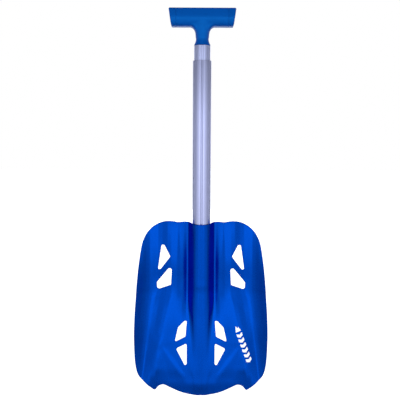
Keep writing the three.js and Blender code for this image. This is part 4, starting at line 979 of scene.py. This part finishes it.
def weld(name, side):
    """A rippled fillet bead along the channel's foot."""
    prof = spline([(22.2, 3.6), (24.6, 3.5), (27.3, 3.75), (26.5, 5.0), (24.9, 6.2), (22.7, 7.0), (20.6, 7.1), (20.9, 5.6)], 4, closed=True)
    centre = np.array([23.4, 5.0])
    rng = np.random.default_rng(7 + side)
    rings = []
    zs = np.arange(188.0, 281.01, 0.45)
    phase = np.cumsum(rng.normal(0, 0.035, len(zs)))
    for k, z in enumerate(zs):
        t = (z - zs[0]) / (zs[-1] - zs[0])
        end = min(1.0, math.sqrt(max(0.0, 1 - max(0, 1 - min(z - zs[0], zs[-1] - z) / 3.2) ** 2)) + 0.08)
        wave = (z / 2.6 + phase[k]) % 1.0
        ripple = 1 + 0.075 * (1 - (2 * wave - 1) ** 2) - 0.03
        loop = centre + (prof - centre) * end * ripple
        toe = loop[:, 1] < 4.6         # the side that lies on the sheet follows it
        loop[toe, 1] = np.minimum(loop[toe, 1], back_y(side * loop[toe, 0], np.full(toe.sum(), z)) - 0.12)
        # each ripple bows towards the start of the bead
        bow = 0.9 * (1 - ((loop[:, 0] - 23.6) / 4.0) ** 2)
        rings.append(np.stack([side * loop[:, 0], loop[:, 1], z - bow], 1))
    if (area2(prof) < 0) != (side < 0):
        rings = [r[::-1] for r in rings]
    v, f = stack(rings)
    v[:, 2] = np.clip(v[:, 2], 187.9, 281.0)
    return add_mesh(name, v, f, sharp_deg=60.0)


place(weld("weld_bead_left", -1), "blade_body", "weld", WELD_BLUE, "socket_weld_left")
place(weld("weld_bead_right", 1), "blade_body", "weld", WELD_BLUE, "socket_weld_right")

# ------------------------------------------------------------------ lower tube
LOWER_IN, UPPER_IN = LOWER_R - LOWER_WALL, UPPER_R - UPPER_WALL
lower = tube("lower_tube", grooved(LOWER_R, 1.4, 2.6), grooved(LOWER_IN, 1.4, 3.6), *LOWER_Z, 0.45)
for r, z in ((LOWER_PIN_R, LOWER_LOCK_Z), (UPPER_PIN_R, UPPER_LOCK_Z), (UPPER_PIN_R, UPPER_LOCK_Z + TRAVEL)):
    cut(lower, bore_cutter(r + HOLE_CLEAR, 5, 20, z))
place(lower, "lower_shaft", "shaft_aluminium", TUBE_OUTER, "lower_shaft_tube")

plug = prism("end_plug", grooved(LOWER_IN - 0.3, 1.4, 3.8, 110), 183.0, 194.0, 0.5)
cut(plug, prism("flange", grooved(14.9, 1.4, 2.6, 110), 182.2, 183.7, 0.4), "UNION")
cut(plug, revolved("pocket", rounded_profile([(0, 186), (9, 186), (9, 198), (0, 198)], [0, 1.2, 0]), "z", (0, 0, 0)))
place(plug, "lower_shaft", "black_plastic", BLACK, "lower_end_plug")

# ------------------------------------------------------------------ upper tube
upper = tube("upper_tube", grooved(UPPER_R, 1.55, 4.2), grooved(UPPER_IN, 1.55, 5.0), *UPPER_Z, 0.4)
cut(upper, bore_cutter(UPPER_PIN_R + HOLE_CLEAR, 5, 20, UPPER_LOCK_Z))
cut(upper, bore_cutter(2.3, 5, 20, RIVET_Z, 40))
place(upper, "upper_shaft", "shaft_aluminium", TUBE_INNER, "upper_shaft_tube")

guide = prism("guide_plug", grooved(UPPER_IN - 0.3, 1.6, 5.2, 110), 279.0, 292.0, 0.5)
cut(guide, prism("flange", grooved(13.0, 1.6, 4.4, 110), 278.2, 279.7, 0.4), "UNION")
cut(guide, revolved("bore", [(0, 276), (7.5, 276), (7.5, 296), (0, 296)], "z", (0, 0, 0)))
place(guide, "upper_shaft", "black_plastic", BLACK, "upper_guide_plug")


# ------------------------------------------------------------------ lock buttons and leaf springs
def button(name, z, flange_r, flange_y, pin_r, tip):
    dome = [(pin_r * math.cos(a), tip - 1.7 + 1.7 * math.sin(a)) for a in np.linspace(0, math.pi / 2, 12)[1:-1]]
    points = [(0, flange_y[0]), (flange_r, flange_y[0]), (flange_r, flange_y[1]), (pin_r, flange_y[1]), (pin_r, tip - 1.7)]
    prof = rounded_profile(points + [(0, tip - 1.0)], [0, 0.35, 0.35, 0.3, 0])[:-1]
    prof += [(float(a), float(b)) for a, b in dome] + [(0.0, tip)]
    return revolved(name, prof, "y", (0, 0, z))


place(button("lower_lock_button", LOWER_LOCK_Z, 5.6, (10.4, 12.0), LOWER_PIN_R, 19.6), "lower_lock", "button_steel", STEEL, "lower_button")
place(button("upper_lock_button", UPPER_LOCK_Z, 5.0, (8.8, 10.3), UPPER_PIN_R, 17.6), "upper_lock", "button_steel", STEEL, "upper_button")


def leaf_spring(name, z, y_back, y_front, reach, width):
    pts = [(y_back, z - 7), (y_back, z + 7)]
    pts += [(2.4 * math.cos(a) - 0.2, z + reach + 2.4 * math.sin(a)) for a in np.linspace(0, math.pi, 15)]
    pts += [(y_front, z + 9), (y_front, z - 5)]
    pts = round_corners(pts, [0, 8] + [0] * 15 + [8, 0], 6, closed=False)
    d = np.gradient(pts, axis=0)
    d /= np.linalg.norm(d, axis=1, keepdims=True)
    n = np.stack([-d[:, 1], d[:, 0]], 1) * 0.3
    loop = np.concatenate([pts + n, (pts - n)[::-1]])
    if area2(loop) < 0:
        loop = loop[::-1]
    return prism_x(name, loop, -width / 2, width / 2, 0.12)


def place_spring(ob, node):
    """Gives the spring its steel material, bakes its placement into the mesh and hides the CAD part it replaces."""
    ob.data.materials.clear()
    ob.data.materials.append(SPRING)
    along = np.array([0.0, 0.9, -0.43])
    along /= np.linalg.norm(along)
    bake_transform(ob)
    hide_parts(node)


place_spring(leaf_spring("lower_leaf_spring", LOWER_LOCK_Z, 9.75, -11.2, 34, 7), "lower_button_spring")
place_spring(leaf_spring("upper_leaf_spring", UPPER_LOCK_Z, 8.15, -9.5, 36, 6), "upper_button_spring")

# ------------------------------------------------------------------ T-grip
BAR_HALF = [(4.2, 605.2), (6.6, 605.6), (8.8, 606.8), (10.6, 608.9), (12.2, 612.0), (13.3, 615.2), (13.6, 617.6),
            (13.2, 620.4), (12.1, 624.6), (10.8, 629.0), (9.9, 631.7), (8.9, 633.1), (7.6, 633.7)]
half_bar = spline(BAR_HALF, 5)
BAR = np.concatenate([half_bar, (half_bar * [-1, 1])[::-1]])
BAR = resample(BAR, 0.75)
if area2(BAR) < 0:
    BAR = BAR[::-1]


def mirrored(profile, steps=6):
    """A (radius, Z) profile and its mirror image, as one closed loop."""
    p = spline(profile, steps)
    return np.concatenate([p, (p * [-1, 1])[::-1]])


NECK = mirrored([(13.1, 576.3), (13.1, 577.0), (12.7, 578.0), (11.7, 580.0), (10.75, 582.8), (10.25, 586), (10.2, 590), (10.2, 594), (10.6, 599), (11.2, 604), (11.6, 610), (11.0, 614)], 3)
FLARE = mirrored([(10.0, 589.5), (10.4, 593), (11.4, 597), (13.3, 600.8), (16.4, 604.4), (18.5, 608)], 4)
SPIGOT = grooved(UPPER_IN - 0.3, 1.7, 5.3, 60)
BORE = np.array([(7.5, 538), (7.5, 590), (5.5, 594), (0.6, 596.5), (-0.6, 596.5), (-5.5, 594), (-7.5, 590), (-7.5, 538)], float)
POCKET = round_corners([(-7.6, 608.4), (7.6, 608.4), (9.4, 612.6), (9.4, 622), (7.6, 629.6), (-7.6, 629.6), (-9.4, 622), (-9.4, 612.6)], 1.0, 3)


def grip_field(p):
    x, y, z = p[:, 0], p[:, 1], p[:, 2]
    r = np.hypot(x, y)
    d = np.full(len(p), 30.0)
    top = z > 585
    bar = smax(poly_distance(y[top], z[top], BAR), np.abs(x[top]) - GRIP_SEAM, 0.4)
    d[top] = bar
    low = (r < 32) & (z > 560)
    neck = poly_distance(r[low], z[low], NECK)
    flare = poly_distance(r[low], z[low], FLARE)
    flare = smax(flare, np.abs(y[low]) - 9.6, 3.0)
    body = smin(neck, flare, 2.5)
    d[low] = smin(d[low], body, 3.2)
    foot = (r < 20) & (z < 584)
    spigot = np.maximum(poly_distance(x[foot], y[foot], SPIGOT), np.maximum(548 - z[foot], z[foot] - 580))
    d[foot] = np.minimum(d[foot], spigot)
    core = (r < 14) & (z < 600)
    d[core] = np.maximum(d[core], -poly_distance(r[core], z[core], BORE))
    end = (np.abs(x) > 12) & (z > 600)
    pocket = np.maximum(poly_distance(y[end], z[end], POCKET), 15.6 - np.abs(x[end]))
    d[end] = np.maximum(d[end], -pocket)
    hole = (r < 20) & (z < 572)
    rivet = np.maximum(np.hypot(x[hole], z[hole] - RIVET_Z) - 2.3, 4 - y[hole])
    d[hole] = np.maximum(d[hole], -rivet)
    return d


GRID = 0.72
gv, gf, gn = surface_net(grip_field, (-43.0, -15.0, 546.0), (43.0, 15.0, 635.5), GRID)
place(add_mesh("grip_moulding", gv, gf, gn), "upper_shaft", "grip_plastic", GRIP_BLUE, "grip_body")


def end_cap(name, side):
    """The slanted cap that closes one end of the bar, with its tongue."""
    slope = (GRIP_HALF_TOP - GRIP_HALF_BOTTOM) / (GRIP_TOP - GRIP_BOTTOM)
    x0 = GRIP_SEAM + 0.12

    def face(z, back):
        return GRIP_HALF_BOTTOM + slope * (z - GRIP_BOTTOM) - back

    def ring(loop, inset, fx):
        l = offset_loop(loop, -inset)
        x = np.array([fx(z) for z in loop[:, 1]])
        return np.stack([x, l[:, 0], l[:, 1]], 1)
    rings = [ring(BAR, i, lambda z, d=d: x0 + d) for i, d in edge_steps(0.25, 3)]
    for t in (0.25, 0.5, 0.75):
        rings.append(ring(BAR, 0, lambda z, t=t: x0 + 0.25 + (face(z, 2.2) - x0 - 0.25) * t))
    rings += [ring(BAR, i, lambda z, d=d: face(z, d)) for i, d in edge_steps(2.2, 7)[::-1]]
    centre = BAR.mean(0)
    last = rings[-1]
    for k in (0.8, 0.55, 0.3, 0.1):
        flat = centre + (last[:, 1:] - centre) * k
        crown = 0.25 * (1 - k * k)
        rings.append(np.stack([np.array([face(z, 0) for z in flat[:, 1]]) + crown, flat[:, 0], flat[:, 1]], 1))
    if side < 0:
        rings = [(r * [-1, 1, 1])[::-1] for r in rings]
    v, f = stack(rings)
    cap = add_mesh(name, v, f)
    tongue = prism_x("tongue", round_corners([(-7.2, 608.9), (7.2, 608.9), (9.0, 612.8), (9.0, 621.8), (7.2, 629.1), (-7.2, 629.1), (-9.0, 621.8), (-9.0, 612.8)], 0.8, 3),
                     side * (GRIP_SEAM - 10.5) if side > 0 else side * (GRIP_SEAM + 1.5), side * (GRIP_SEAM + 1.5) if side > 0 else side * (GRIP_SEAM - 10.5), 0.4)
    cut(cap, tongue, "UNION", 40.0)
    return cap


place(end_cap("end_cap_left", -1), "upper_shaft", "grip_plastic", CAP_BLUE, "grip_end_cap_left")
place(end_cap("end_cap_right", 1), "upper_shaft", "grip_plastic", CAP_BLUE, "grip_end_cap_right")

rivet = revolved("blind_rivet", rounded_profile([(0, 4.9), (2.4, 4.9), (3.1, 5.7), (3.1, 6.4), (2.0, 7.0), (2.0, 13.45), (4.0, 13.45), (3.8, 14.2), (2.6, 14.9), (1.1, 15.1), (0.9, 14.6), (0, 14.6)],
                                                [0, 0.4, 0.3, 0.3, 0.2, 0.1, 0.25, 0.4, 0.5, 0.2, 0.2]), "y", (0, 0, RIVET_Z), 48)
place(rivet, "upper_shaft", "rivet_aluminium", RIVET, "grip_rivet")


# ------------------------------------------------------------------ stage, light and camera
scene = bpy.context.scene
scene.view_settings.view_transform = "Standard"
scene.view_settings.look = "None"

floor_mesh = bpy.data.meshes.new("floor")
n = 24
grid = [(-6 + 12 * i / n, -6 + 12 * j / n, -0.004) for j in range(n + 1) for i in range(n + 1)]
floor_mesh.from_pydata(grid, [], [(j * (n + 1) + i, j * (n + 1) + i + 1, (j + 1) * (n + 1) + i + 1, (j + 1) * (n + 1) + i)
                                  for j in range(n) for i in range(n)])
floor = bpy.data.objects.new("floor", floor_mesh)
scene.collection.objects.link(floor)
m = Nodes("pale_floor")
paper = m.noise(300, 3, 0.6)
tone = m.mix(m.ramp(paper, 0.3, 0.7, 0.0, 1.0), (0.97, 0.97, 0.97), (1.0, 1.0, 1.0))
m.set(color=m.mix(0.0, tone, tone), rough=0.9, metal=0.0, specular=0.1)
m.link(tone, m.shader.inputs["Emission Color"])
m.shader.inputs["Emission Strength"].default_value = 1.0
floor_mesh.materials.append(m.mat)
for flag in ("visible_diffuse", "visible_glossy", "visible_transmission", "visible_shadow"):
    setattr(floor, flag, False)

world = bpy.data.worlds.new("studio")
scene.world = world
world.use_nodes = True
nt = world.node_tree
nt.nodes.clear()
out = nt.nodes.new("ShaderNodeOutputWorld")
mixer = nt.nodes.new("ShaderNodeMixShader")
path = nt.nodes.new("ShaderNodeLightPath")
fill_light = nt.nodes.new("ShaderNodeBackground")
white = nt.nodes.new("ShaderNodeBackground")
coord = nt.nodes.new("ShaderNodeTexCoord")
sep = nt.nodes.new("ShaderNodeSeparateXYZ")
ramp = nt.nodes.new("ShaderNodeMapRange")
nt.links.new(coord.outputs["Generated"], sep.inputs[0])
nt.links.new(sep.outputs["Z"], ramp.inputs["Value"])
for k, v in (("From Min", -1.0), ("From Max", 1.0), ("To Min", 0.12), ("To Max", 0.08)):
    ramp.inputs[k].default_value = v
nt.links.new(ramp.outputs["Result"], fill_light.inputs["Strength"])
fill_light.inputs["Color"].default_value = (1.0, 1.0, 1.0, 1.0)
white.inputs["Color"].default_value = (1.0, 1.0, 1.0, 1.0)
white.inputs["Strength"].default_value = 1.0
nt.links.new(path.outputs["Is Camera Ray"], mixer.inputs[0])
nt.links.new(fill_light.outputs[0], mixer.inputs[1])
nt.links.new(white.outputs[0], mixer.inputs[2])
nt.links.new(mixer.outputs[0], out.inputs[0])


def softbox(name, azimuth, elevation, radiance, size_x, size_y, distance=2.2):
    """An area light of a given brightness, whatever its size, aimed at the middle of the shovel.
    Azimuth 0 is straight in front of the scoop, 90 to the right of it."""
    data = bpy.data.lights.new(name, "AREA")
    data.shape = "RECTANGLE"
    data.size, data.size_y = size_x, size_y
    data.energy = radiance * size_x * size_y * 4
    ob = bpy.data.objects.new(name, data)
    a, e = math.radians(azimuth), math.radians(elevation)
    middle = Vector((0.0, 0.0, 0.30))
    away = Vector((math.sin(a) * math.cos(e), -math.cos(a) * math.cos(e), math.sin(e)))
    ob.location = middle + away * distance
    ob.rotation_mode = "QUATERNION"
    ob.rotation_quaternion = (-away).to_track_quat("-Z", "Y")
    scene.collection.objects.link(ob)
    return ob


# A curved wall of soft light in front of the scoop, brightest at the middle.
for azimuth, radiance in ((0, 0.80), (25, 0.85), (50, 0.68), (75, 0.42), (105, 0.50)):
    for side in (-1, 1) if azimuth else (1,):
        softbox("wall_%d" % (side * azimuth), side * azimuth, 0, radiance, 0.97, 2.34)
softbox("key_box", 0, 7, 0.45, 2.9, 1.10)
softbox("top_front_box", 0, 40, 0.38, 2.9, 0.78)
softbox("low_front_box", 0, -40, 0.30, 2.9, 0.78)
softbox("back_box", 180, 10, 1.00, 2.3, 2.3)
softbox("low_back_box", 180, -32, 1.00, 2.3, 1.2)
softbox("back_left_box", -145, 5, 0.60, 0.9, 2.3)
softbox("back_right_box", 145, 5, 0.60, 0.9, 2.3)

# The camera looks a little down on the shovel from the front of the scoop.
PITCH, ROLL, DISTANCE, AIM_Z, AIM_X, FOCAL_PX = math.radians(6.8), math.radians(0.29), 0.880, 0.327, -0.0024, 530.0
forward = Vector((0, math.cos(PITCH), -math.sin(PITCH)))
right = Vector((1, 0, 0))
up = right.cross(forward)
r2 = right * math.cos(ROLL) + up * math.sin(ROLL)
u2 = up * math.cos(ROLL) - right * math.sin(ROLL)
camera_data = bpy.data.cameras.new("camera")
camera_data.sensor_width = 36.0
camera_data.lens = FOCAL_PX / 400.0 * 36.0
camera_data.clip_start, camera_data.clip_end = 0.05, 60.0
camera = bpy.data.objects.new("camera", camera_data)
location = Vector((AIM_X, 0, AIM_Z)) - forward * DISTANCE
basis = Matrix((r2, u2, -forward)).transposed().to_4x4()
basis.translation = location
camera.matrix_world = basis
scene.collection.objects.link(camera)
scene.camera = camera
